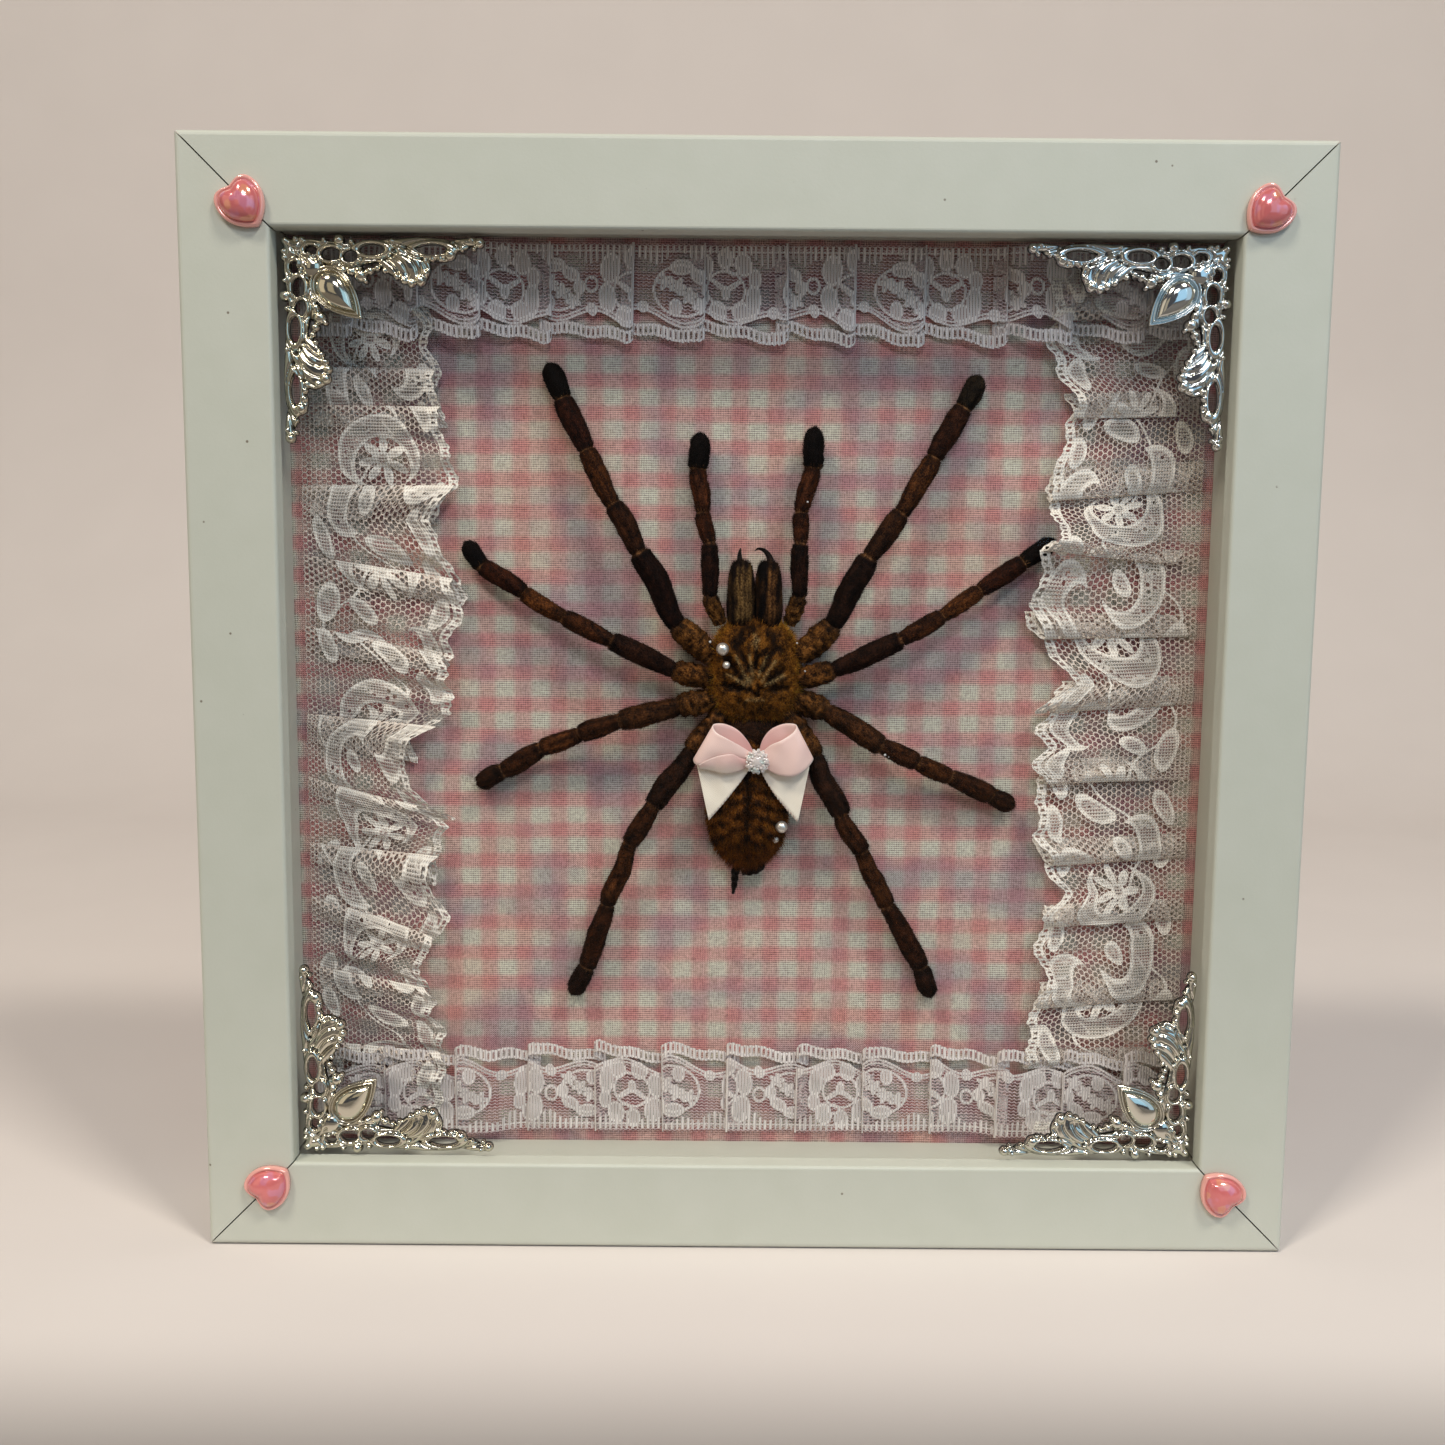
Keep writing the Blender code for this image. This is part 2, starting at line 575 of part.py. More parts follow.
def limb(name, finish, path, radii, sides=2):
    """A tube along the path with a radius of its own at each point."""
    curve = bpy.data.curves.new(name, "CURVE")
    curve.dimensions = "3D"
    curve.bevel_depth = MM
    curve.bevel_resolution = sides
    curve.use_fill_caps = True
    spline = curve.splines.new("POLY")
    spline.points.add(len(path) - 1)
    for point, spot, radius in zip(spline.points, path, radii):
        point.co = (*spot, 1)
        point.radius = radius
    return add_object(name, curve, finish)


def jointed(name, finish, plan, heights, radii, sides=2):
    """A leg or palp: each stretch is fuller in its middle and drawn in at its joints."""
    joints = [on_cloth(x, z, h) for (x, z), h in zip(plan, heights)]
    path, sizes = [joints[0]], [0.5 * radii[0]]
    for i, radius in enumerate(radii):
        for share, swell in ((0.09, 0.86), (0.5, 1.0), (0.92, 0.82)):
            path.append(joints[i].lerp(joints[i + 1], share))
            sizes.append(radius * swell)
    path.append(joints[-1])
    sizes.append(0.55 * radii[-1])
    return limb(name, finish, path, sizes, sides)


def add_spider():
    pillow("carapace", "golden", CARAPACE, carapace_relief, 22, 11)
    pillow("abdomen", "golden", ABDOMEN)
    for side, centre in CHELICERA_CENTRES.items():
        pillow("chelicera_" + side, "brown", {**CHELICERA, "centre": centre},
               segments=12, rings=8)
        fang = [on_cloth(*point) for point in FANG_PATHS[side]]
        limb("fang_" + side, "black", fang, FANG_RADII[-len(fang):], 1)
    for name, plan in LEGS.items():
        girth = LEG_GIRTHS[name[:5]]
        jointed(name, "brown", plan, LEG_HEIGHTS, [radius * girth for radius in LEG_RADII])
    for name, plan in PALPS.items():
        jointed(name, "brown", plan, PALP_HEIGHTS, PALP_RADII, 1)
    for name, points in SPINNERETS.items():
        limb(name, "black", [on_cloth(*point) for point in points], SPINNERET_RADII, 1)


def add_pearls():
    for name, ((x, z), diameter, form) in PEARLS.items():
        bm = bmesh.new()
        bmesh.ops.create_icosphere(bm, subdivisions=2, radius=diameter * MM / 2)
        pearl = add_mesh(name, bm, "pearl")
        pearl.location = on_cloth(x, z, height_over(form, x, z) + 0.9 * diameter)


def loop_solid(side):
    """One loop: a band that goes out low, folds over at its far end and comes back high."""
    reach, direction = LOOPS[side]
    heading = math.radians(direction)
    steps = 12
    bm = bmesh.new()
    rows = []
    for i in range(steps):
        turn = 2 * math.pi * i / steps
        out = reach * (0.52 - 0.5 * math.cos(turn))
        half_width = (KNOT_WIDTH + (RIBBON_WIDTH - KNOT_WIDTH) * smooth_step(out / 8)) / 2
        crest = KNOT_HIGH + (BOW_HIGH - KNOT_HIGH) * smooth_step((out - 2.4) / 5)
        height = (crest + BOW_LOW) / 2 - (crest - BOW_LOW - RIBBON_THICKNESS) / 2 * math.sin(turn)
        row = []
        for across in (-1, 1):
            x = BOW_CENTRE[0] + out * math.cos(heading) - across * half_width * math.sin(heading)
            z = BOW_CENTRE[1] + out * math.sin(heading) + across * half_width * math.cos(heading)
            row.append(bm.verts.new(on_cloth(x, z, height)))
        rows.append(row)
    for i in range(steps):
        low, high = rows[i], rows[(i + 1) % steps]
        bm.faces.new((*low, *reversed(high)))
    band = add_mesh("loop_" + side, bm, "satin")
    wall = band.modifiers.new("thickness", "SOLIDIFY")
    wall.thickness = RIBBON_THICKNESS * MM
    wall.offset = 0
    return band


def add_bow():
    bm = bmesh.new()
    knot_size = Matrix.Diagonal((2.4 * MM, (KNOT_HIGH - BOW_LOW) / 2 * MM, 2.2 * MM, 1))
    bmesh.ops.create_uvsphere(bm, u_segments=10, v_segments=6, radius=1, matrix=knot_size)
    knot = add_mesh("bow_ribbon", bm, "satin")
    knot.location = on_cloth(*BOW_CENTRE, (BOW_LOW + KNOT_HIGH) / 2)
    tails = []
    for side, outline in TAILS.items():
        tail = flat_piece("tail_" + side, "satin", [outline], RIBBON_THICKNESS * MM)
        tail.location = on_cloth(*BOW_CENTRE, BOW_LOW + RIBBON_THICKNESS)
        tails.append(mesh_of(tail))
    joined(knot, loop_solid("left"), loop_solid("right"), *tails)


def add_beads():
    """A middle bead in a ring of seven, close enough to be one strung cluster."""
    places = [(0, 0)]
    for i in range(7):
        turn = 2 * math.pi * i / 7
        places.append((BEAD_RING * math.cos(turn), BEAD_RING * math.sin(turn)))
    beads = []
    for i, (dx, dz) in enumerate(places):
        bm = bmesh.new()
        bmesh.ops.create_icosphere(bm, subdivisions=1, radius=BEAD_RADIUS * MM)
        bead = add_mesh("bow_beads" if not i else f"bead_{i}", bm, "beads")
        bead.location = on_cloth(BOW_CENTRE[0] + dx, BOW_CENTRE[1] + dz, BEAD_HEIGHT)
        beads.append(bead)
    joined(*beads)


add_frame()
add_tabs()
add_hanger()
add_hearts()
add_ornaments()
add_lace()
add_spider()
add_pearls()
add_bow()
add_beads()
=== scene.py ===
import math
import bpy
import numpy as np
from mathutils import Matrix, Vector


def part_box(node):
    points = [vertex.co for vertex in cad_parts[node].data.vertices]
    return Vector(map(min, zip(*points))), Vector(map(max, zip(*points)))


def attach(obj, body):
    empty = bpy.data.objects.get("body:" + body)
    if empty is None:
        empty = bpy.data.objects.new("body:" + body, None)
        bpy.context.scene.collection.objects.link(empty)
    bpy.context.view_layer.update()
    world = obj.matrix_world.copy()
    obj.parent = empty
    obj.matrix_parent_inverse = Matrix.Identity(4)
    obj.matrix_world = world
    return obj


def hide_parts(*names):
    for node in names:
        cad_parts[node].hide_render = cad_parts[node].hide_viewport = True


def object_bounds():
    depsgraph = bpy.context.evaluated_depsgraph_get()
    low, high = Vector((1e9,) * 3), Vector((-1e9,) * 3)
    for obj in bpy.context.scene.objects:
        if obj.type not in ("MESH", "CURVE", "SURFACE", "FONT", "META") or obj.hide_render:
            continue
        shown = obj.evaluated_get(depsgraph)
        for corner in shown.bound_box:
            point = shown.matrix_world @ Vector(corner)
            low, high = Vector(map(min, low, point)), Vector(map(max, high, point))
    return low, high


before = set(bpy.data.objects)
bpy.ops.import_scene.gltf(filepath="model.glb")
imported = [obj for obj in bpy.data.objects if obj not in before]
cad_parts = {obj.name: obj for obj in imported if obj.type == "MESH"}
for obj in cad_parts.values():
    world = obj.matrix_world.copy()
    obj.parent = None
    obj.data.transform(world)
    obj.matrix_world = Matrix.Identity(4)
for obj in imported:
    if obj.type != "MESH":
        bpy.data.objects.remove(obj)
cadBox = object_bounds()

# Millimetres are measured from the frame's middle: x across, z up, and height from the cloth to the glass.
mm = 0.001
fullTurn = 6.2832
middleZ = (cadBox[0].z + cadBox[1].z) / 2
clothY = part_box("gingham_cloth")[0].y
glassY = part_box("glass_pane")[0].y
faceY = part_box("rail_top")[0].y
corners = {"top_left": (-1, 1), "top_right": (1, 1), "bottom_right": (1, -1), "bottom_left": (-1, -1)}


def onCloth(x, z, height):  # x, z and height in millimetres, any shapes that broadcast
    x, z, height = np.broadcast_arrays(x, z, height)
    return np.stack([x * mm, clothY - height * mm, middleZ + z * mm], -1)


def ease(x, low=0.0, high=1.0):  # 0 below low, 1 above high, smooth between them
    t = np.clip((x - low) / (high - low), 0, 1)
    return t * t * (3 - 2 * t)


def wander(x, y, size, seed, waves=7):  # plane waves of about one size in random directions, added up
    rng = np.random.default_rng(seed)
    whole = 6.28
    turns, phases = rng.uniform(0, whole, waves), rng.uniform(0, whole, waves)
    total = 0
    for turn, phase, stretch in zip(turns, phases, rng.uniform(0.7, 1.5, waves)):
        way = x * math.cos(turn) + y * math.sin(turn)
        total = total + np.sin(way * whole / (size * stretch) + phase)
    return total / math.sqrt(waves)


def turnsRound(count):  # angles spread once round, without the last
    return np.linspace(0, 2 * math.pi, count, endpoint=False)


def unit(way, least=0.0):  # directions of length 1
    return way / (np.linalg.norm(way, axis=-1, keepdims=True) + least)


def curveThrough(points, count):  # a cubic curve through the points, evenly spread over them
    p = np.asarray(points, float)
    p = np.concatenate([2 * p[:1] - p[1:2], p, 2 * p[-1:] - p[-2:-1]])
    s = np.linspace(0, len(p) - 3 - 1e-9, count)
    k = s.astype(int)
    t = (s - k)[:, None]
    a, b, c, d = p[k], p[k + 1], p[k + 2], p[k + 3]
    square, cube = 2 * a - 5 * b + 4 * c - d, 3 * b - a - 3 * c + d
    return 0.5 * (2 * b + (c - a) * t + square * t ** 2 + cube * t ** 3)


def gridFaces(rows, columns, closed=False):  # the quads of a grid of points, numbered row by row
    i, j = np.meshgrid(np.arange(rows - 1), np.arange(columns if closed else columns - 1), indexing="ij")
    k = (j + 1) % columns
    quads = [i * columns + j, i * columns + k, (i + 1) * columns + k, (i + 1) * columns + j]
    return np.stack(quads, -1).reshape(-1, 4)


def closedForm(rings):  # rings of equal counts, joined in turn, with a point at the middle of each end ring
    rows, columns = rings.shape[:2]
    points = np.concatenate([rings.reshape(-1, 3), rings[:1].mean(1), rings[-1:].mean(1)])
    here = np.arange(columns)
    after = (here + 1) % columns
    low = np.stack([np.full(columns, rows * columns), after, here], -1)
    last = (rows - 1) * columns
    high = np.stack([np.full(columns, rows * columns + 1), last + here, last + after], -1)
    quads, fans = gridFaces(rows, columns, True), np.concatenate([low, high])
    a, b, c = (points[quads[:, k]] - points.mean(0) for k in range(3))
    if (a * np.cross(b, c)).sum() < 0:
        quads, fans = quads[:, ::-1], fans[:, ::-1]
    return {"points": points, "faces": [quads, fans]}


def joinParts(parts):  # one set of points, faces and values from several
    faces, start = [], 0
    for part in parts:
        faces += [f + start for f in part["faces"]]
        start += len(part["points"])
    joined = {key: np.concatenate([part[key] for part in parts]) for key in parts[0] if key != "faces"}
    return {**joined, "faces": faces}


def ball(centre, radius, rows=18, columns=28):  # a sphere: rings of radius cos(rise) at height sin(rise)
    rise = np.linspace(-math.pi / 2, math.pi / 2, rows + 2)[1:-1, None]
    turn = turnsRound(columns)[None, :]
    wide = radius * np.cos(rise)
    height = centre[2] + (radius * np.sin(rise) + 0 * turn)
    return closedForm(onCloth(centre[0] + wide * np.cos(turn), centre[1] + wide * np.sin(turn), height))


def newPiece(name, part, finish, replaces):
    # points and faces become an object; any other entry becomes a point attribute, and uv a UV map
    points = np.ascontiguousarray(part["points"], np.float32)
    faces = [f for f in part["faces"] if len(f)]
    sizes = np.concatenate([np.full(len(f), f.shape[1]) for f in faces])
    around = np.concatenate([f.ravel() for f in faces]).astype(np.int32)
    mesh = bpy.data.meshes.new(name)
    mesh.vertices.add(len(points))
    mesh.vertices.foreach_set("co", points.ravel())
    mesh.loops.add(len(around))
    mesh.loops.foreach_set("vertex_index", around)
    mesh.polygons.add(len(sizes))
    mesh.polygons.foreach_set("loop_start", (np.cumsum(sizes) - sizes).astype(np.int32))
    for key, value in part.items():
        if key in ("points", "faces"):
            continue
        if key == "uv":
            layer, entry, value = mesh.uv_layers.new(name="uv"), "uv", value[around]
        elif value.ndim == 2:
            layer, entry = mesh.attributes.new(key, "FLOAT_COLOR", "POINT"), "color"
            value = np.concatenate([value, np.ones((len(value), 1))], 1)
        else:
            layer, entry = mesh.attributes.new(key, "FLOAT", "POINT"), "value"
        layer.data.foreach_set(entry, np.ascontiguousarray(value, np.float32).ravel())
    mesh.update(calc_edges=True)
    mesh.validate()
    mesh.shade_smooth()
    mesh.materials.append(finish)
    piece = bpy.data.objects.new(name, mesh)
    bpy.context.scene.collection.objects.link(piece)
    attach(piece, "root")
    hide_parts(*replaces)
    return piece


def linear(colour):  # screen values from 0 to 255 to the linear ones that shaders use
    c = np.asarray(colour, float) / 255
    return np.where(c < 0.04045, c / 12.92, ((c + 0.055) / 1.055) ** 2.4)


class Wire:  # an output socket that can be used in sums, which add their own nodes
    def __init__(self, paint, socket):
        self.paint, self.socket = paint, socket

    def sum(self, operation, a, b):
        vector = any(isinstance(w, Wire) and w.socket.type == "VECTOR" for w in (a, b))
        kind = "ShaderNodeVectorMath" if vector else "ShaderNodeMath"
        return self.paint.node(kind, {"operation": operation}, {0: a, 1: b})

    def __add__(self, other):
        return self.sum("ADD", self, other)

    def __radd__(self, other):
        return self.sum("ADD", other, self)

    def __sub__(self, other):
        return self.sum("SUBTRACT", self, other)

    def __rsub__(self, other):
        return self.sum("SUBTRACT", other, self)

    def __mul__(self, other):
        return self.sum("MULTIPLY", self, other)

    def __rmul__(self, other):
        return self.sum("MULTIPLY", other, self)

    def __pow__(self, other):
        return self.sum("POWER", self, other)

    def __rpow__(self, other):
        return self.sum("POWER", other, self)


class Paint:  # one material, whose nodes all come from node()
    def __init__(self, name, **constants):
        self.made = bpy.data.materials.new(name)
        self.made.use_nodes = True
        self.tree = self.made.node_tree
        self.shader = self.tree.nodes["Principled BSDF"]
        for key, value in constants.items():
            socket = self.shader.inputs[key.replace("_", " ")]
            socket.default_value = (*linear(value), 1) if isinstance(value, tuple) else value

    def node(self, kind, settings=None, sockets=None, out=0):
        made = self.tree.nodes.new(kind)
        for key, value in (settings or {}).items():
            setattr(made, key, value)
        for key, value in (sockets or {}).items():
            if isinstance(value, Wire):
                self.tree.links.new(value.socket, made.inputs[key])
            else:
                made.inputs[key].default_value = value
        return Wire(self, made.outputs[out])

    def place(self):  # Object coordinates, in metres
        return self.node("ShaderNodeTexCoord", out=3)

    def axis(self, vector, index):
        return self.node("ShaderNodeSeparateXYZ", sockets={0: vector}, out=index)

    def alongAcross(self):  # the piece's own UV map, in millimetres
        uv = self.node("ShaderNodeUVMap", {"uv_map": "uv"})
        return self.axis(uv, 0), self.axis(uv, 1)

    def value(self, name, colour=False):
        return self.node("ShaderNodeAttribute", {"attribute_name": name}, out=0 if colour else 2)

    def slant(self):  # 0 where a surface faces the eye, 1 where it is seen from its edge
        return self.node("ShaderNodeLayerWeight", sockets={"Blend": 0.5}, out=1)

    def maths(self, operation, value):
        return self.node("ShaderNodeMath", {"operation": operation}, {0: value})

    def stripes(self, way, width, start=None):  # a sine wave with one turn in each width
        angle = way * (fullTurn / width)
        return self.maths("SINE", angle if start is None else angle + start)

    def between(self, value, low, high):
        smooth = {"interpolation_type": "SMOOTHSTEP"}
        return self.node("ShaderNodeMapRange", smooth, {0: value, 1: low, 2: high})

    def noise(self, size, detail=2.0, stretch=None):  # size in metres
        sockets = {"Vector": self.place() * stretch if stretch else self.place(), "Scale": 1 / size}
        return self.node("ShaderNodeTexNoise", sockets={**sockets, "Detail": detail})

    def cells(self, size, out=0):
        return self.node("ShaderNodeTexVoronoi", sockets={"Vector": self.place(), "Scale": 1 / size}, out=out)

    def mix(self, share, a, b, blend="MIX"):
        a, b = ((*linear(c), 1) if isinstance(c, tuple) else c for c in (a, b))
        settings = {"data_type": "RGBA", "blend_type": blend}
        return self.node("ShaderNodeMix", settings, {0: share, 6: a, 7: b}, 2)

    def bump(self, height, distance, strength):
        sockets = {"Height": height, "Distance": distance, "Strength": strength}
        return self.node("ShaderNodeBump", sockets=sockets)

    def use(self, **wires):
        for key, wire in wires.items():
            self.tree.links.new(wire.socket, self.shader.inputs[key.replace("_", " ")])
        return self.made


frameTones = {"low": (188, 191, 178), "high": (196, 198, 187), "specks": (120, 112, 98)}


def whitePaint():
    p = Paint("white paint", Roughness=0.5, Coat_Weight=0.12, Coat_Roughness=0.3)
    mottle = p.noise(9 * mm, detail=4)
    grain = p.noise(0.6 * mm, detail=3)
    specks = p.between(p.cells(7 * mm), 0.055, 0.03) * p.between(p.noise(20 * mm), 0.52, 0.56)
    worn = p.mix(specks, p.mix(mottle, frameTones["low"], frameTones["high"]), frameTones["specks"])
    return p.use(Base_Color=worn, Roughness=0.42 + 0.16 * grain,
                 Normal=p.bump(grain + mottle * 2, 0.04 * mm, 0.5))


def clearGlass():
    p = Paint("clear glass", Base_Color=(235, 240, 240), Metallic=1.0, Roughness=0.02)
    dust = p.between(p.noise(2 * mm, detail=5), 0.7, 0.8)
    return p.use(Alpha=0.004 + 0.9 * p.slant() ** 5 + 0.01 * dust)


def fibreboard():
    p = Paint("fibreboard", Roughness=0.85)
    fibre = p.noise(1.2 * mm, detail=5, stretch=(1, 1, 3))
    broad = p.noise(30 * mm)
    return p.use(Base_Color=p.mix(fibre * 0.7 + broad * 0.3, (122, 88, 58), (176, 136, 96)),
                 Normal=p.bump(fibre, 0.1 * mm, 0.6))


def zincSteel():
    p = Paint("zinc plated steel", Metallic=1.0, Roughness=0.35)
    spangle = p.axis(p.cells(3 * mm, out=1), 0)
    return p.use(Base_Color=p.mix(spangle, (150, 150, 148), (196, 196, 190)),
                 Roughness=0.3 + 0.2 * p.noise(2 * mm, detail=4))


print("frame")
white = whitePaint()
finishes = {"rail_": white, "spacer_": white, "glass_pane": clearGlass(), "backing_board": fibreboard(),
            "flex_tab_": zincSteel(), "hanger_plate": zincSteel()}
for name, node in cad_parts.items():
    for start, finish in finishes.items():
        if name.startswith(start):
            node.data.materials.clear()
            node.data.materials.append(finish)


cloth = {
    # across and up: the check's size, the middle of one pale bar, and the yarn's spacing
    "check": (8.5 * mm, 7.57 * mm), "pale": (-7.2 * mm, 11.3 * mm), "yarn": (0.56 * mm, 0.5 * mm),
    "cells": 110, "wave": 0.12, "waveSize": 45,
    # where both ways are coloured, where one is, and where neither is
    "crossing": (217, 153, 150), "up": (219, 186, 175), "across": (224, 182, 173), "ground": (222, 220, 204),
    # violet is painted shade and the orange painted light, both laid on in soft patches; gaps darken the
    # yarn's weave
    "violet": (152, 138, 154), "litOrange": (230, 168, 142), "gaps": (148, 140, 138),
}


def gingham(phase):
    p = Paint("gingham cotton", Roughness=0.92, Specular_IOR_Level=0.15)
    spot = p.place()
    x, z = p.axis(spot, 0), p.axis(spot, 2)
    shift = (p.noise(14 * mm, detail=1) - 0.5) * (0.9 * mm)
    pale = [p.between(p.stripes(way + shift, size, start), -0.75, 0.55)
            for way, size, start in zip((x, z), cloth["check"], phase)]
    bars = p.mix(pale[0], p.mix(pale[1], cloth["crossing"], cloth["up"]),
                 p.mix(pale[1], cloth["across"], cloth["ground"]))
    # soft violet patches of painted shade, then orange patches of painted light
    shadePatch = p.between(p.noise(16 * mm), 0.42, 0.68)
    warm = p.between(p.noise(19 * mm, detail=1), 0.5, 0.7)
    withLightAndShade = p.mix(warm * 0.2, p.mix(shadePatch * 0.5, bars, cloth["violet"]), cloth["litOrange"])
    warp, weft = (p.stripes(way + shift * 0.1, size) for way, size in zip((x, z), cloth["yarn"]))
    slub = p.noise(1.1 * mm, stretch=(1, 1, 9)) * 0.5 + p.noise(1.1 * mm, stretch=(9, 1, 1)) * 0.5
    shade = p.between(slub + warp * 0.05 + weft * 0.13, 0.22, 0.68)
    woven = p.mix(shade, cloth["gaps"], (255, 255, 255))
    return p.use(Base_Color=p.mix(1.0, withLightAndShade, woven, "MULTIPLY"),
                 Normal=p.bump(warp * weft + slub * 2, 0.08 * mm, 0.6))


def addCloth():  # a flat sheet with low waves, which die away at its edges
    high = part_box("gingham_cloth")[1]
    half = high.x / mm
    across = np.linspace(-half, half, cloth["cells"])
    z, x = np.meshgrid(across, across, indexing="ij")
    rim = ease(half - np.maximum(abs(x), abs(z)), 0, 20)
    height = -0.2 + cloth["wave"] * wander(x, z, cloth["waveSize"], 3) * rim
    form = {"points": onCloth(x, z, height).reshape(-1, 3), "faces": [gridFaces(*x.shape)]}
    phase = [math.pi / 2 - fullTurn * (middle + lift) / size
             for middle, size, lift in zip(cloth["pale"], cloth["check"], (0, middleZ))]
    sheet = newPiece("gingham", form, gingham(phase), ["gingham_cloth"])


print("gingham")
addCloth()


# Lace: a field in the flat cloth, above 0 in a thread, cut out of a fine grid and laid in folds

def hexNet(t, s, pitch, thread):  # distance to the walls of hexagonal cells, less half a thread
    wide, tall = pitch, pitch * math.sqrt(3)
    best = None
    for dt, ds in ((0, 0), (wide / 2, tall / 2)):
        a = (t - dt + wide / 2) % wide - wide / 2
        b = (s - ds + tall / 2) % tall - tall / 2
        reach = np.maximum(abs(a), abs(a) / 2 + abs(b) * math.sqrt(3) / 2)
        best = reach if best is None else np.minimum(best, reach)
    return thread / 2 - (wide / 2 - best)


def oval(t, s, period, middle, half, turn=0.0):  # millimetres inside a repeated ellipse, negative outside
    a = (t - middle[0] + period / 2) % period - period / 2
    b = s - middle[1]
    c, d = math.cos(math.radians(turn)), math.sin(math.radians(turn))
    return (1 - np.hypot((a * c + b * d) / half[0], (b * c - a * d) / half[1])) * min(half)


sideLace = {
    "cell": 0.3, "width": 36.0, "repeat": 52.0, "net": 1.4, "thread": 0.27, "squeeze": 1.1, "drape": 4.0,
    "half": 106.0, "rail": 105.4, "crest": 2.6, "clawLift": 5.2, "clawHeight": 38,
    "creasePast": 0.5, "creaseWidth": 1.0, "pores": (1.75, 0.75), "rungs": 1.2, "loops": 2.4, "hem": 3.0,
    # ovals: middle, half widths and turn in degrees; a sickle is its first oval less its second
    "flower": {"middle": (15, 19), "petals": 7, "ring": 3.6, "petal": (1.5, 0.7)},
    "sickles": ((((12.5, 18), (8.6, 9.2), 10), ((15.6, 18.6), (6.4, 6.6))),
                (((37, 13.5), (8.8, 6.0), -20), ((38.6, 16.4), (6.6, 4.6))),
                (((33, 27.5), (7.2, 4.8), 15), ((31.6, 24.8), (5.6, 3.4)))),
    "leaves": (((15, 19), (1.5, 1.5)), ((24.6, 5.6), (4.6, 2.2), -18), ((24.8, 13.6), (3.0, 1.5), 70),
               ((38.4, 16.2), (2.6, 1.5), 30), ((48.5, 21.5), (4.6, 2.0), 62), ((47.5, 6.0), (3.6, 1.8), 20),
               ((22.6, 30.6), (3.4, 1.7), -20), ((44.8, 31.0), (3.2, 1.6), 10), ((2.6, 30.2), (4.2, 1.8), 8)),
    # the first colour is painted shade in the troughs between the threads
    "troughShade": (190, 180, 172), "tone": ((226, 218, 206), (244, 240, 231)), "netTone": (214, 200, 188),
    # way: 1 laps each fold's top edge over the cloth above, -1 laps its lower edge over the cloth below
    "left": {"side": -1, "way": 1,
             "edge": ((106, 73), (80, 73), (51, 67.5), (43, 74), (34, 69.5), (25, 66), (9, 71), (-2, 68),
                      (-8, 79), (-20, 80), (-29, 70), (-38, 75), (-51, 71), (-63, 78), (-80, 72),
                      (-106, 73)),
             # folds: height at the outer edge, at the free edge, and how far the cloth doubles back
             "folds": ((93, 92, 5), (78.5, 78, 6), (70, 69.5, 6), (51.5, 52, 8), (35.5, 30, 7),
                       (19, 12, 7), (-2, -4.5, 8), (-17, -24, 6), (-33, -35.5, 6), (-46, -56, 7),
                       (-63, -68, 7), (-82, -84, 6))},
    "right": {"side": 1, "way": -1,
              "edge": ((106, 68), (84, 66), (70, 73), (51, 67), (43, 69), (30, 63.5), (19, 65), (6, 74),
                       (0, 67), (-12, 68), (-30, 67), (-44, 73), (-57, 67.5), (-67, 71), (-76, 66),
                       (-106, 68)),
              "folds": ((90, 89, 5), (68, 67, 7), (51, 48, 8), (33, 37, 5), (17, 16, 6), (1, -1.5, 8),
                        (-17, -18, 7), (-36, -38, 7), (-51, -53, 6), (-71, -73, 7), (-88, -88, 6))},
}


def laceThread():
    p = Paint("white lace", Roughness=0.8, Specular_IOR_Level=0.2)
    along, across = p.alongAcross()
    bend = p.maths("SINE", across * 0.5) * 0.4
    rows = p.stripes(across + bend * 0.3, 0.66)
    ribs = p.maths("SINE", along * (fullTurn / 0.72) + rows * 0.35 + bend)
    holes = p.between(rows * 0.7 + ribs * 0.8, -0.25, 0.2) * p.value("dense")
    tone = p.mix(p.value("ground"), p.mix(p.noise(3 * mm), *sideLace["tone"]), sideLace["netTone"])
    # painted shade where the rows and ribs are low
    colour = p.mix(p.between(rows + ribs, -1.7, 0.2), sideLace["troughShade"], tone)
    return p.use(Base_Color=colour, Alpha=1 - holes * 0.9, Normal=p.bump(rows + ribs, 0.06 * mm, 0.6))


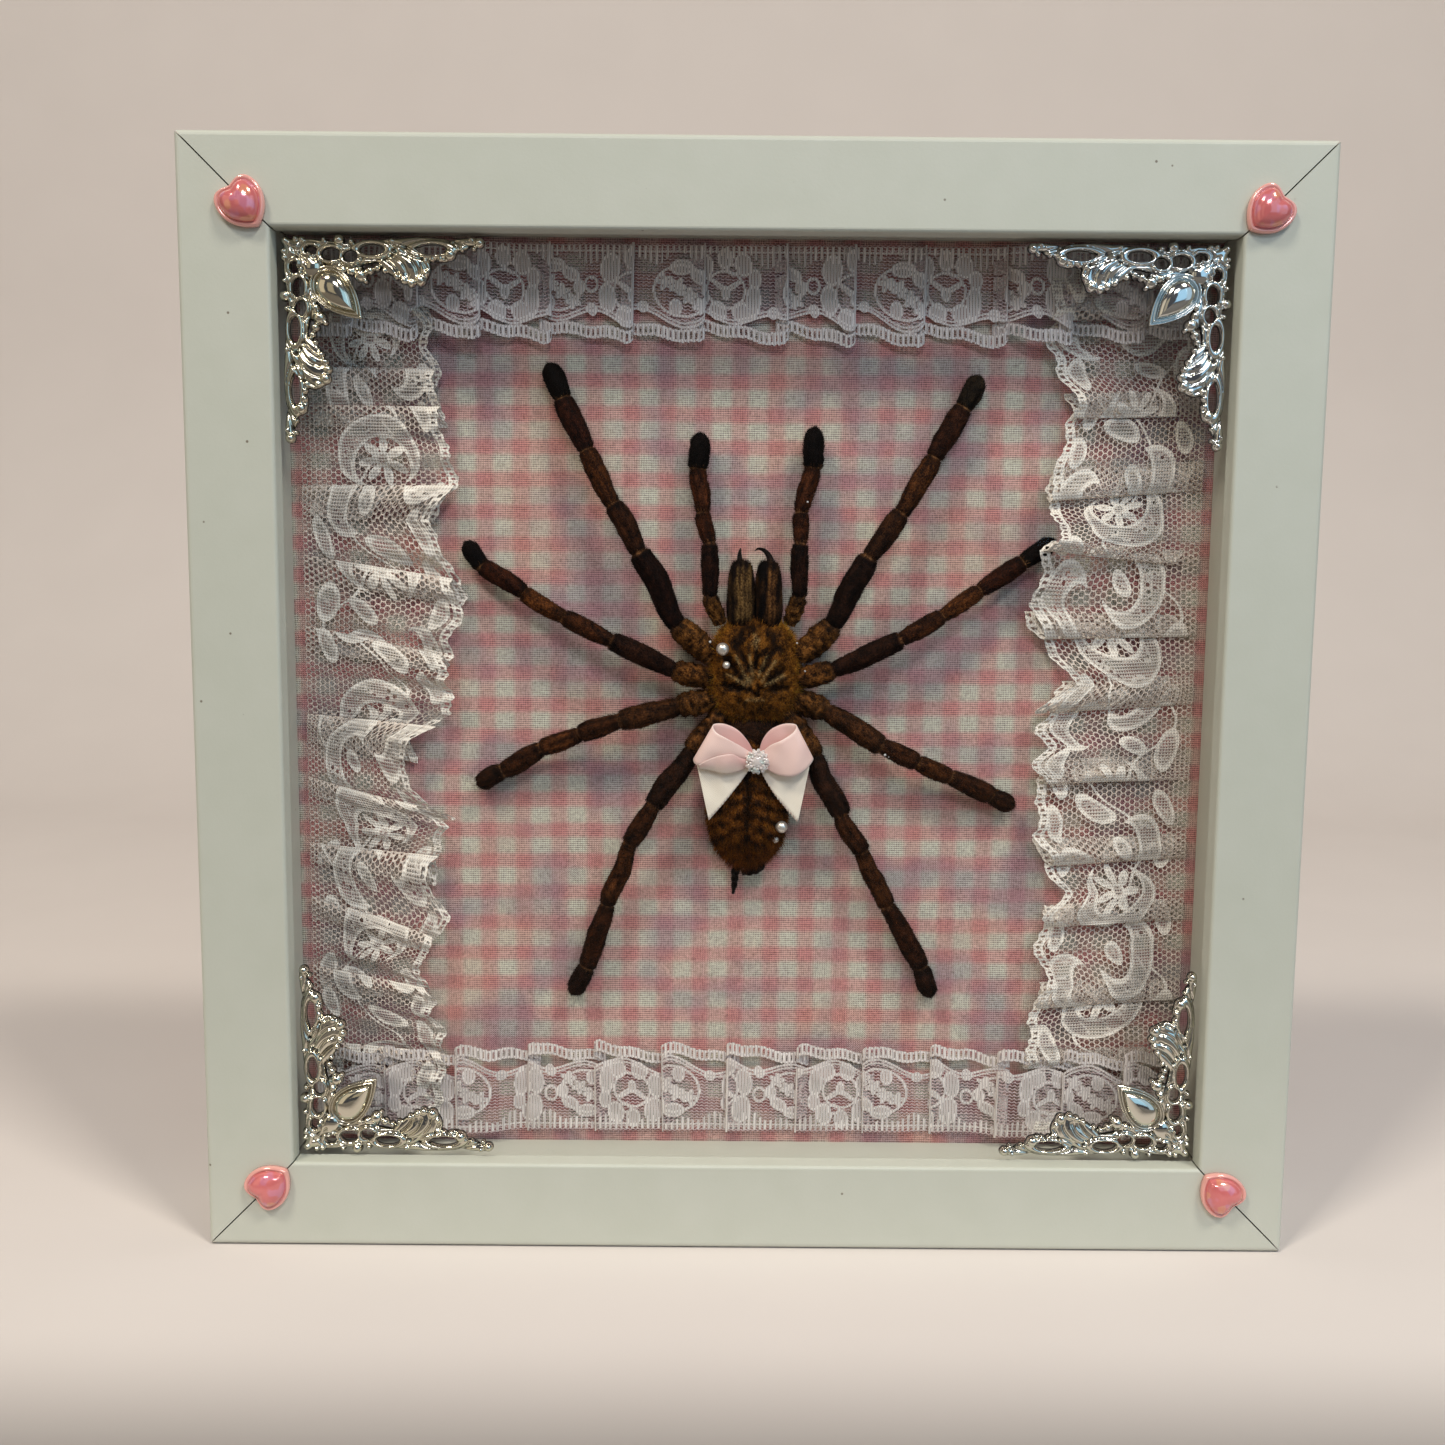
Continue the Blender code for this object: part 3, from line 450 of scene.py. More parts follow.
def flowerLace(t, s):
    # net, woven petals and leaves with a cord round them, and a looped scalloped edge: gives the field, how
    # densely it is woven, and the motifs' own field
    v = sideLace
    period, far = v["repeat"], t
    edge = v["width"] - v["hem"] + 0.7 * np.cos(t * fullTurn / (period / 5))
    edge = edge + 0.5 * np.cos(t * fullTurn / (period / 2) + 1)
    t = t + 0.9 * np.sin(s / 4.1 + t / 7)
    s = s + 0.5 * np.sin(t / 3.7)
    (x, z), ring = v["flower"]["middle"], v["flower"]["ring"]
    flower = [oval(t, s, period, (x + ring * math.cos(a), z + ring * math.sin(a)), v["flower"]["petal"],
                   math.degrees(a)) for a in np.arange(v["flower"]["petals"]) * math.pi / 3.5 + 0.3]
    sickles = [np.minimum(oval(t, s, period, *outer), -oval(t, s, period, *inner))
               for outer, inner in v["sickles"]]
    leaves = [oval(t, s, period, *leaf) for leaf in v["leaves"]]
    inside = np.max(flower + sickles + leaves, axis=0)
    pores = hexNet(t, s, *v["pores"])
    pierced = (abs(wander(t, s, 8, 5)) < 0.24) & (inside > 0.9)
    veined = np.where(pierced, np.minimum(inside, pores), inside)
    curve = s - 14 - 8.5 * np.sin(t * fullTurn / period + 0.9) - 1.5 * np.sin(t * fullTurn / period * 3)
    stems = 0.26 - abs(curve) / 1.3
    rim = 0.3 - abs(inside)
    cord = 0.36 - abs(s - edge + 0.2)
    rungs = np.minimum(0.32 - abs(far % v["rungs"] - v["rungs"] / 2), edge + 1.5 - s)
    outside = s - edge - 1.45 - 0.18 * np.sin(far * fullTurn / v["loops"])
    outside = outside - 0.12 * wander(far, 0 * far, 2, 41)
    looped = np.maximum(rungs + 0.12 * wander(far, s, 3, 42), 0.26 - abs(outside))
    field = np.where(s < edge, np.maximum.reduce([veined, stems, rim]), -1)
    field = np.maximum(field, np.maximum(cord, np.where(s > edge, looped, -1)))
    return field, ease(inside, 0.3, 0.6) * (1 - 0.6 * pierced), np.maximum(inside, s - edge + 0.4)


bandLace = {
    "cell": 0.28, "width": 22.4, "repeat": 38.0, "half": 104.0, "doubled": 4.2, "step": 1.7, "sag": 3.8,
    "creasePast": 0.6, "creaseWidth": 0.9, "petalTurn": 1.2566, "cord": 17.0, "crest": 1.6,
    "endLift": 2.9, "endFrom": 54, "endTo": 64,
    # a flower round an open middle, then an open ring with blobs on one side and small florets in it
    "blobs": (((10.8, 16.1), (1.8, 2.2)), ((5.5, 15.6), (1.9, 2.1)), ((14.8, 12.4), (1.8, 3.0), 6),
              ((14.2, 5.8), (2.1, 3.1), -6), ((9.2, 3.6), (1.5, 2.2)), ((5.0, 4.8), (1.8, 2.4), 8),
              ((2.8, 12.8), (1.5, 3.4), -4), ((2.4, 7.8), (1.3, 1.9)), ((9.0, 11.6), (0.8, 1.3)),
              ((7.4, 9.9), (1.7, 0.4), 35), ((10.6, 9.9), (1.7, 0.4), -35), ((27.4, 5.4), (2.4, 1.5), 4),
              ((23.3, 7.4), (1.9, 1.3), -28), ((21.4, 10.4), (1.2, 1.5)), ((28.7, 14.4), (1.3, 1.7)),
              ((18.4, 15.4), (1.1, 1.4), 20), ((36.2, 15.0), (1.1, 1.3), -15)),
    "rings": (((9.0, 10.8), (4.3, 4.3)), ((27.4, 10.6), (6.3, 5.6)), ((7.4, 6.0), (1.3, 1.1)),
              ((18.6, 9.6), (1.4, 1.7))),
    "florets": ((31.3, 8.8, 0.0), (28.3, 9.6, 0.5), (25.6, 11.6, 0.9), (22.8, 13.6, 0.2)),
    # the first colour is painted shade in the troughs of the ribs
    "troughShade": (192, 182, 180), "tone": ((222, 212, 207), (242, 236, 230)), "netTone": (206, 184, 184),
    "top": {"side": 1, "way": 1, "outer": 106.6, "phase": 0.0,
            "folds": (-91, -75.9, -62.1, -46.2, -27, -10.7, 8.3, 24.0, 40.1, 58.5, 73, 90)},
    "bottom": {"side": -1, "way": -1, "outer": 105.0, "phase": 13.0,
               "folds": (-88, -71, -54, -37.5, -21, -5.5, 11.5, 28, 44.5, 60, 76, 91)},
}


def linenLace():
    p = Paint("linen lace", Roughness=0.8, Specular_IOR_Level=0.2)
    dense = p.value("dense")
    along, across = p.alongAcross()
    ribs = p.stripes(along, 0.68, p.maths("SINE", across * 0.9) * 0.5)
    wave = p.stripes(across + p.stripes(along, 1.2) * 0.14, 0.78)
    posts = p.stripes(along, 1.2, wave * 0.4)
    firm = p.between(dense, 1.2, 1.8)
    solid = p.between(dense, 0.2, 0.8)
    slits = p.between(ribs, 0.5, 0.9) * solid
    mesh = p.between(wave * 0.8 + posts * 0.16, -0.62, -0.35) * (1 - solid)
    tone = p.mix((1 - solid) * (1 - firm), p.mix(p.noise(3 * mm), *bandLace["tone"]), bandLace["netTone"])
    # painted shade in the troughs of the ribs
    colour = p.mix(p.between(ribs * solid, -1, 0.0), bandLace["troughShade"], tone)
    return p.use(Base_Color=colour, Alpha=1 - (slits * 0.8 + mesh * 0.95) * (1 - firm),
                 Normal=p.bump(ribs * solid, 0.06 * mm, 0.6))


def linenBand(t, s):
    # ribbed blobs round two open motifs, a wavy cord and a ladder of short bars: gives the field, and 1
    # where it is ribbed and 2 where it is firm
    v = bandLace
    period = v["repeat"]
    edge = v["width"] - 0.6 + 0.35 * np.cos(t * fullTurn / (period / 4))
    edge = edge - 0.25 * abs(np.sin(t * math.pi / 1.2))
    blobs = [oval(t, s, period, *blob) for blob in v["blobs"]]
    for x, z, turn in v["florets"]:
        for k in np.arange(5) * v["petalTurn"] + turn:
            petal = (x + 0.95 * math.cos(k), z + 0.95 * math.sin(k))
            blobs.append(oval(t, s, period, petal, (0.75, 0.42), math.degrees(k)))
    dense = np.max(blobs, axis=0)
    rings = np.maximum.reduce([0.3 - abs(oval(t, s, period, *ring)) for ring in v["rings"]])
    teeth = np.minimum(0.3 - abs(t % 1.3 - 0.65), 3.6 + 1.9 * np.sin(t * 0.55) * np.sin(t * 0.21 + 1) - s)
    teeth = np.minimum(teeth, s - 0.6)
    wave = s - v["cord"] - 1.5 * np.cos((t - 8) * fullTurn / (period / 2))
    cords = np.maximum(0.3 - abs(wave), 0.22 - abs(wave + 0.9))
    straight = 0.22 - abs(s - 1.9)
    rails = np.maximum(0.34 - abs(s - edge + 0.25), 0.32 - abs(s - edge + 2.5))
    ladder = np.where(s > edge - 2.5, 0.40 - abs(t % 1.15 - 0.57), -1)
    ground = np.where(wave < -0.3, 0.5, -1)
    lines = [cords, rails, ladder, straight, teeth, rings]
    field = np.maximum.reduce([ground, np.where(wave < 1.4, dense, -1), *lines])
    firm = np.maximum.reduce([ease(part, 0, 0.1) for part in (*lines, 0.26 - abs(dense))])
    return np.where(s > edge + 0.05, -1, field), ease(dense, 0.15, 0.3) + 2 * firm


def foldPlaces(edges, doubles, start):
    # along the flat cloth: where it turns up, and where it comes round a fold's edge
    ups = np.concatenate([[0], np.cumsum(2 * doubles)[:-1]]) + start - edges + doubles
    return ups, ups + doubles


def creases(v, t, edges, doubles):  # 1 just past each fold's edge, fading to 0 over the crease's width
    turned = foldPlaces(edges, doubles, v["half"])[1]
    near = np.min([abs(t - k - v["creasePast"]) for k in turned], axis=0)
    return np.exp(-(near / v["creaseWidth"]) ** 2)


def laidInFolds(t, edges, doubles, start, crest):
    # the cloth runs down from start, turns up under the next fold's edge and down again over it; the lift
    # is 0 where it turns up, half where it comes round the edge, 1 at the crest just past it, and sinks to
    # 0 again
    ups, downs = foldPlaces(edges, doubles, start)
    ends = [[0], [t.max() + 3]]
    knots = np.concatenate([ends[0], np.stack([ups, downs], -1).ravel(), ends[1]])
    places = np.concatenate([[start], np.stack([edges - doubles, edges], -1).ravel()])
    places = np.concatenate([places, [places[-1] - (knots[-1] - knots[-2])]])
    rises = np.concatenate([ends[0], np.stack([ups, downs, downs + crest], -1).ravel(), ends[1]])
    heights = np.concatenate([[0.7], np.tile([0.0, 0.55, 1.0], len(edges)), [0.3]])
    near = np.linspace(-0.9, 0.9, 7)
    travel = sum(np.interp(t + d, knots, places) for d in near) / len(near)
    return travel, sum(np.interp(t + d, rises, heights) for d in near) / len(near)


def keptCells(field, step, leastSlope):
    # cells whose middle lies inside the field are kept, and the corners round them slide onto its outline:
    # gives the quads, the points they use, which points lie on the outline, and how far each slides
    rows, columns = field.shape
    middle = (field[:-1, :-1] + field[1:, :-1] + field[:-1, 1:] + field[1:, 1:]) / 4
    kept = gridFaces(rows, columns)[middle.ravel() > 0]
    slopes = np.gradient(field, step)
    steep = np.maximum(np.hypot(*slopes), leastSlope)
    uses = np.bincount(kept.ravel(), minlength=rows * columns).reshape(rows, columns)
    rim = (uses > 0) & (uses < 4)
    slide = np.where(rim, np.clip(-field / steep, -0.48 * step, 0.48 * step), 0)
    used = np.flatnonzero(uses.ravel())
    renumber = np.zeros(rows * columns, int)
    renumber[used] = np.arange(len(used))
    return renumber[kept], used, rim, [slide * slope / steep for slope in slopes]


def cutOut(field, dense, t, s, points):  # the kept cells as a part, and their area in square millimetres
    step = s[0, 1] - s[0, 0]
    faces, used, _, moves = keptCells(field, step, 0.35)
    for slope, move in zip(np.gradient(points, step, axis=(0, 1)), moves):
        points = points + slope * move[..., None]
    uv = np.stack([t, s], -1).reshape(-1, 2)[used]
    part = {"points": points.reshape(-1, 3)[used], "faces": [faces], "uv": uv, "dense": dense.ravel()[used],
            "ground": np.zeros(len(used))}
    return part, len(faces) * step * step


def honeycomb(length, motif, crease, lay):
    # a thread ring in each hexagon of a flat net, its middle at (i p, j p sqrt 3) or half a step on in both
    v = sideLace
    pitch = v["net"]
    tall = pitch * math.sqrt(3) / v["squeeze"]
    i, j = np.meshgrid(np.arange(1, length / pitch - 1), np.arange(0.5, v["width"] / tall), indexing="ij")
    middles = np.stack([i * pitch, j * tall], -1).reshape(-1, 2)
    middles = np.concatenate([middles, middles + (pitch / 2, tall / 2)])
    middles = middles[motif(*middles.T) < 0.25]
    turn = np.arange(6) * math.pi / 3 + math.pi / 6
    spoke = np.stack([np.cos(turn), np.sin(turn) / v["squeeze"]], -1) * pitch / math.sqrt(3)
    rounded = np.round((middles[:, None] + spoke).reshape(-1, 2) * 100).astype(int)
    shared, outer = np.unique(rounded, axis=0, return_inverse=True)
    hole = 1 - v["thread"] / pitch * (1 + 1.3 * crease(middles[:, 0]))
    inner = (middles[:, None] + spoke * hole[:, None, None]).reshape(-1, 2)
    outer = outer.reshape(-1, 6)
    inward = len(shared) + np.arange(len(inner)).reshape(-1, 6)
    faces = np.stack([outer, inward, np.roll(inward, -1, 1), np.roll(outer, -1, 1)], -1).reshape(-1, 4)
    t, s = np.concatenate([shared / 100, inner]).T
    s = np.clip(s, 0, None)
    part = {"points": lay(t, s, -0.06), "faces": [faces], "uv": np.stack([t, s], -1), "dense": 0 * t,
            "ground": 0 * t + 1}
    return part, np.sum(1 - hole ** 2) * pitch * tall / 2


def flatGrid(v, length):  # millimetres along and across a strip of cloth, one cell apart
    along, across = (np.arange(0, end, v["cell"]) for end in (length, v["width"] + 0.2))
    return np.meshgrid(along, across, indexing="ij")


def addLace(name, kind, part, finish, length, woven):
    piece = newPiece("lace_" + name + kind, part, finish, ["lace_" + name])
    print("  ", name, 2 * sum(len(f) for f in part["faces"]), "triangles")
    length * mm
    woven * mm * mm


def addSideLace(name, finish):
    # the flat cloth's edge lies along the rail and its width runs inwards to the ragged free edge; z and
    # the lift come from the folds, and x runs from the rail to the free edge's reach at that z
    v = sideLace
    own = v[name]
    side, way = own["side"], own["way"]
    outer, free, doubles = (np.array(own["folds"], float)[::way] * (way, way, 1)).T
    length = 2 * v["half"] + 2 * doubles.sum()
    heights, reaches = np.array(own["edge"], float)[::-1].T

    def crease(t):
        return creases(v, t, outer, doubles)

    def pattern(t, s):
        return flowerLace(t + 17 * side, s)

    def lay(t, s, above=0.0):
        share = s / v["width"]
        z, lift = laidInFolds(t, outer, doubles, v["half"], v["crest"])
        z = z + share * np.interp(z, outer[::-1], (free - outer)[::-1])
        z = np.clip(z * way, -v["half"], v["half"])
        reach = np.interp(z, heights, reaches) + 0.9 * wander(t, 0 * t, 7, 11) * share
        x = v["rail"] + (reach - v["rail"]) * share
        gathers = wander(t, s * 0.15, 5.5, 17 + side) + 0.5 * wander(t, s * 0.4, 3, 18 + side)
        height = 0.55 + (0.8 + v["drape"] * share ** 0.9) * lift
        height = height + 0.42 * (1.3 + gathers) * (0.4 + 0.6 * share)
        if side > 0:
            claw = np.exp(-((z - v["clawHeight"]) / 9) ** 2)
            height = height + v["clawLift"] * claw * ease(2 * share - 0.6)
        return onCloth(side * x, z, height + above)

    t, s = flatGrid(v, length)
    field, dense, _ = pattern(t, s)
    field, dense = field + 0.3 * crease(t) * (field > -0.3), dense * (1 - crease(t))
    flowers, woven = cutOut(field, dense, t, s, lay(t, s))
    ground, knotted = honeycomb(length, lambda t, s: pattern(t, s)[2], crease, lay)
    addLace(name, "_net", joinParts([flowers, ground]), finish, length, woven + knotted)


def addBand(name, finish):
    # the band's outer edge lies along the rail at z = outer; x and the lift come from the pleats, and z runs
    # inwards over the width, further where a pleat sags
    v = bandLace
    own = v[name]
    side, way = own["side"], own["way"]
    edges = np.array(own["folds"], float)[::-way] * way
    doubles = np.full(len(edges), v["doubled"])
    length = 2 * v["half"] + 2 * doubles.sum()
    t, s = flatGrid(v, length)
    field, dense = linenBand(t + own["phase"], s)
    dense = np.where((field > 0) & (creases(v, t, edges, doubles) > 0.88), 2, dense)
    x, lift = laidInFolds(t, edges, doubles, v["half"], v["crest"])
    share = s / v["width"]
    x = np.clip(way * (x + 0.35 * np.sin(x / 9.5 + side) * share), -v["half"], v["half"])
    ends = v["endLift"] * ease(abs(x), v["endFrom"], v["endTo"])
    height = 0.4 + v["step"] * lift * (0.6 + 0.6 * share) + ends + 0.12 * wander(t, s, 8, 23)
    sag = v["sag"] * (lift - 0.6) * share + 0.3 * wander(t, 0 * t, 20, 9) * share
    part, woven = cutOut(field, dense, t, s, onCloth(x, side * (own["outer"] - s - sag), height))
    addLace(name, "_band", part, finish, length, woven)


print("lace")
net, linen = laceThread(), linenLace()
for name in ("left", "right"):
    addSideLace(name, net)
for name in ("top", "bottom"):
    addBand(name, linen)


# Silver corner ornaments

ornament = {
    "corner": 103.9, "reach": (-0.7, 46.9), "cell": 0.2, "plate": 0.3, "rim": 1.35, "dome": 0.75,
    "fuller": 0.08, "silver": ((212, 212, 208), (202, 186, 140)), "dirt": ((56, 58, 60), (62, 50, 28)),
    # gold: how far each corner's silver and dirt colours turn to their second, golden ones, a painted warm
    # reflection that differs from corner to corner
    "gold": {"top_left": 0.42, "top_right": 0.0, "bottom_right": 0.25, "bottom_left": 0.36},
    # one arm: u from the corner along the frame, v inwards; the other arm swaps them. Strokes and balls are
    # u, v and radius, rounds and holes are u, v and half widths
    "strokes": (((1.2, 1.4, 1.0), (3.6, 2.6, 1.9), (6.6, 3.0, 2.5), (10.6, 3.5, 2.6), (14.6, 3.9, 2.5),
                 (18.4, 3.4, 2.4), (22.0, 2.8, 2.3), (24.6, 2.6, 2.2)),
                ((4.0, 4.0, 2.0), (6.4, 6.4, 2.4)),
                ((10.6, 5.2, 1.1), (13.6, 6.4, 0.9), (17.0, 7.2, 1.1)),
                ((24.0, 3.2, 2.2), (26.6, 4.4, 3.1), (28.8, 6.4, 2.6), (28.6, 8.8, 1.3)),
                ((22.0, 4.4, 1.4), (23.6, 6.2, 1.3), (25.2, 7.8, 0.9)),
                ((25.6, 5.6, 1.8), (27.0, 8.6, 1.1)),
                ((29.4, 4.4, 1.8), (31.0, 6.4, 1.7), (30.6, 8.8, 1.1)),
                ((25.0, 1.6, 1.3), (29.0, 1.1, 1.1), (33.0, 0.9, 0.85), (36.2, 1.3, 0.85), (37.6, 2.8, 1.0)),
                ((30.4, 5.2, 1.5), (32.0, 4.4, 0.8), (34.0, 4.2, 0.7), (35.6, 4.4, 0.8), (36.9, 3.5, 1.3)),
                ((37.0, 1.6, 0.9), (39.4, 1.5, 1.35), (41.4, 0.9, 0.9), (43.4, 1.1, 1.1))),
    "rounds": ((6.6, 2.9, 2.5, 2.3), (19.8, 2.7, 4.2, 2.3)),
    "holes": ((6.6, 2.9, 1.2, 0.85), (10.9, 3.7, 1.95, 1.3), (15.2, 4.1, 1.5, 1.2), (19.9, 2.7, 2.6, 1.1),
              (33.0, 2.6, 3.1, 1.05), (3.0, 5.6, 0.5, 0.6)),
    "balls": ((1.0, 1.0, 1.0), (3.2, 0.5, 0.7), (4.6, 0.7, 0.8), (12.7, 0.7, 1.25), (15.4, 1.0, 0.7),
              (24.2, 0.8, 0.7), (17.3, 8.2, 1.5), (19.4, 7.2, 1.0), (15.2, 7.4, 0.95), (13.4, 7.2, 0.7),
              (21.0, 6.6, 0.8), (18.4, 9.4, 0.7), (22.6, 7.2, 0.65), (30.4, 9.2, 1.3), (28.4, 9.8, 1.0),
              (26.8, 9.2, 0.9), (25.2, 8.4, 0.8), (31.6, 7.6, 0.8), (36.9, 3.6, 1.4), (34.8, 4.5, 0.8),
              (33.0, 4.6, 0.75), (31.6, 5.0, 0.7), (43.4, 1.1, 1.15), (41.6, 0.4, 0.6), (42.2, 2.4, 0.6),
              (39.6, 2.6, 0.6), (9.4, 0.6, 0.6)),
    "veins": (((24.6, 1.4), (27.8, 2.4), (30.6, 4.2), (31.9, 6.6)),
              ((24.6, 2.8), (27.6, 4.2), (29.6, 6.4), (30.0, 9.0)),
              ((24.0, 3.8), (26.6, 5.6), (27.8, 8.0)), ((22.6, 4.6), (24.6, 6.2), (25.8, 8.0)),
              ((38.0, 0.9), (40.0, 1.5), (41.8, 1.9)), ((1.8, 2.6), (3.4, 3.0), (5.6, 5.6))),
    # the drop's levels: scale of its outline, and height in rims
    "drop": {"middle": 12.4, "length": 14.4, "width": 9.8, "rim": 1.15, "dome": 2.3, "around": 56, "levels": (
        (1.0, 0.0), (1.0, 0.7), (0.985, 0.92), (0.955, 1), (0.92, 0.95), (0.90, 0.66), (0.885, 0.64),
        (0.87, 0.9), (0.845, 1.12), (0.81, 1.12), (0.785, 0.9), (0.775, 0.55))},
}


def silverPlate():
    p = Paint("silver plate", Metallic=1.0, Roughness=0.14)
    dirt = p.between(p.value("height") + p.noise(2 * mm) * 0.5, 1.25, 0.55)
    # gold is a painted warm reflection, set for each corner
    gold = p.value("gold")
    colour = p.mix(dirt, p.mix(gold, *ornament["silver"]), p.mix(gold, *ornament["dirt"]))
    return p.use(Base_Color=colour, Roughness=0.06 + 0.1 * p.noise(1.5 * mm) + 0.2 * dirt,
                 Normal=p.bump(p.noise(1.6 * mm), 0.06 * mm, 0.4))


def nearest(u, v, stroke, reach=3.4):
    # for a stroke of points with radii: the largest radius less distance to a stretch of it, and that radius
    line = curveThrough(stroke, 6 * (len(stroke) - 1) + 1)
    best, size = np.full(u.shape, -9.0), np.full(u.shape, 1.0)
    for a, b in zip(line[:-1], line[1:]):
        near = (abs(u - (a[0] + b[0]) / 2) < reach) & (abs(v - (a[1] + b[1]) / 2) < reach)
        box = np.flatnonzero(near)
        pu, pv = u[box] - a[0], v[box] - a[1]
        du, dv = b[0] - a[0], b[1] - a[1]
        share = np.clip((pu * du + pv * dv) / (du * du + dv * dv + 1e-9), 0, 1)
        radius = a[2] + (b[2] - a[2]) * share
        gap = radius - np.hypot(pu - share * du, pv - share * dv)
        better = gap > best[box]
        best[box[better]], size[box[better]] = gap[better], radius[better]
    return best, size


def rod(share, height):  # a half-round profile: share runs from 0 at the side to 1 on the crest
    return np.sqrt(np.clip(1 - (1 - np.clip(share, 0, 1)) ** 2, 0, 1)) * height


def ornamentField(u, v):
    # how far inside the pierced plate each place is, and the height of its rods, balls and the rims round
    # holes
    w = ornament
    inside, height = np.full(u.shape, -9.0), np.zeros(u.shape)
    for stroke in w["strokes"]:
        gap, radius = nearest(u, v, stroke)
        inside = np.maximum(inside, gap + w["fuller"])
        height = np.maximum(height, rod(gap / radius, 0.5 + 0.38 * radius))
    for a, b, long, wide in w["rounds"]:
        gap = (1 - np.hypot((u - a) / long, (v - b) / wide)) * wide
        inside, height = np.maximum(inside, gap), np.maximum(height, rod(gap / 1.2, 1.1))
    for a, b, long, wide in w["holes"]:
        gap = (np.hypot((u - a) / long, (v - b) / wide) - 1) * wide
        inside = np.minimum(inside, gap)
        height = np.maximum(height * ease(gap, 0.5, 1.5), rod(1 - abs(gap - 0.45) / 0.5, w["rim"]))
    veins = np.max([nearest(u, v, [(*p, 0.14) for p in vein])[0] for vein in w["veins"]], axis=0)
    height = height - 0.55 * ease(veins, -0.4, 0.14)
    for a, b, radius in w["balls"]:
        gap = radius - np.hypot(u - a, v - b)
        inside = np.maximum(inside, gap)
        height = np.maximum(height, rod(gap / radius, 0.75 + radius * w["dome"]))
    return inside, height


def teardrop():
    # x = sin t * |sin(t/2)|^0.9 and z = cos t, shrunk to each level's scale at its height, and turned onto
    # the plate's diagonal
    drop = ornament["drop"]
    t = turnsRound(drop["around"])
    x = 0.56 * drop["width"] * np.sin(t) * abs(np.sin(t / 2)) ** 0.9
    z = 0.5 * drop["length"] * np.cos(t)
    levels = [(scale, height * drop["rim"]) for scale, height in drop["levels"]]
    levels += [(0.765 * math.cos(k) ** 0.9, 0.5 * drop["rim"] + drop["dome"] * math.sin(k))
               for k in np.linspace(0.05, 1.5, 16)]
    rings = [np.stack([x * scale, 0 * t + height, (z + 1.2) * scale - 1.2], -1) for scale, height in levels]
    stone = closedForm(np.stack(rings))
    x, h, z = stone["points"].T
    c = math.sqrt(0.5)
    stone["points"] = np.stack([drop["middle"] + (x + z) * c, h, drop["middle"] + (z - x) * c], -1)
    stone["height"] = h * 0.4 + 0.8
    return stone


def ornamentForm():
    # the pierced plate's kept cells at the height of its relief, the same cells flat behind, and walls
    # between
    w = ornament
    across = np.arange(*w["reach"], w["cell"])
    a, b = np.meshgrid(across, across, indexing="ij")
    one, two = ornamentField(a.ravel(), b.ravel()), ornamentField(b.ravel(), a.ravel())
    inside = np.maximum(one[0], two[0]).reshape(a.shape)
    dome = np.where(one[0] > two[0], one[1], two[1]).reshape(a.shape)
    top, used, rim, (moveA, moveB) = keptCells(inside, w["cell"], 0.4)
    height = (w["plate"] + np.where(rim, 0, dome)).reshape(-1, 1)[used]
    flat = np.stack([a + moveA, 0 * a, b + moveB], -1).reshape(-1, 3)[used]
    edges = np.concatenate([top[:, [k, (k + 1) % 4]] for k in range(4)])
    _, which, times = np.unique(np.sort(edges, 1), axis=0, return_index=True, return_counts=True)
    once = edges[which[times == 1]]
    count = len(used)
    walls = np.stack([once[:, 1], once[:, 0], once[:, 0] + count, once[:, 1] + count], -1)
    plate = {"points": np.concatenate([flat + height * (0, 1, 0), flat]),
             "faces": [top, top[:, ::-1] + count, walls],
             "height": np.concatenate([height.ravel(), np.zeros(count)])}
    return joinParts([plate, teardrop()])


def addOrnaments(finish):
    form = ornamentForm()
    u, h, v = form["points"].T
    for name, (x, z) in corners.items():
        points = np.stack([x * (ornament["corner"] - u) * mm, glassY - (0.02 + h) * mm,
                           middleZ + z * (ornament["corner"] - v) * mm], -1)
        quads = form["faces"] if x * z < 0 else [f[:, ::-1] for f in form["faces"]]
        # each corner's share of painted golden reflection
        gold = np.full(len(points), ornament["gold"][name])
        own = {**form, "points": points, "faces": quads, "gold": gold}
        newPiece("filigree_" + name, own, finish, ["corner_ornament_" + name])
    print("   ornament", sum(len(f) * 2 for f in form["faces"]), "triangles each")


print("ornaments")
addOrnaments(silverPlate())


heart = {
    "width": 10.3, "rim": 1.6, "dome": 2.35, "edge": (236, 168, 158),
    # violet and warm are painted pearly glints on the dome
    "pink": ((204, 104, 106), (226, 126, 124)), "violet": (206, 150, 196), "warm": (232, 178, 110),
    # x, z, turn in degrees and size
    "top_left": (-110.3, 109.4, -36, 1.03), "top_right": (109.7, 109.8, 45, 1.0),
    "bottom_right": (109.9, -110.2, 138, 1.0), "bottom_left": (-110.3, -110.2, -133, 1.0),
}


def heartLacquer():
    p = Paint("pink pearl lacquer", Roughness=0.16, Coat_Weight=1.0, Coat_Roughness=0.04, Metallic=0.15)
    inner = p.value("inner")
    cloud = p.noise(4 * mm)
    # violet and warm patches on the dome are painted pearly glints
    violet = p.between(p.noise(3.1 * mm, detail=1), 0.52, 0.62) * inner
    warm = p.between(p.noise(3.7 * mm, detail=1), 0.58, 0.66) * inner
    dome = p.mix(violet * 0.32, p.mix(cloud, *heart["pink"]), heart["violet"])
    dome = p.mix(warm * 0.32, dome, heart["warm"])
    return p.use(Base_Color=p.mix(inner, heart["edge"], dome), Roughness=0.1 + 0.12 * cloud)


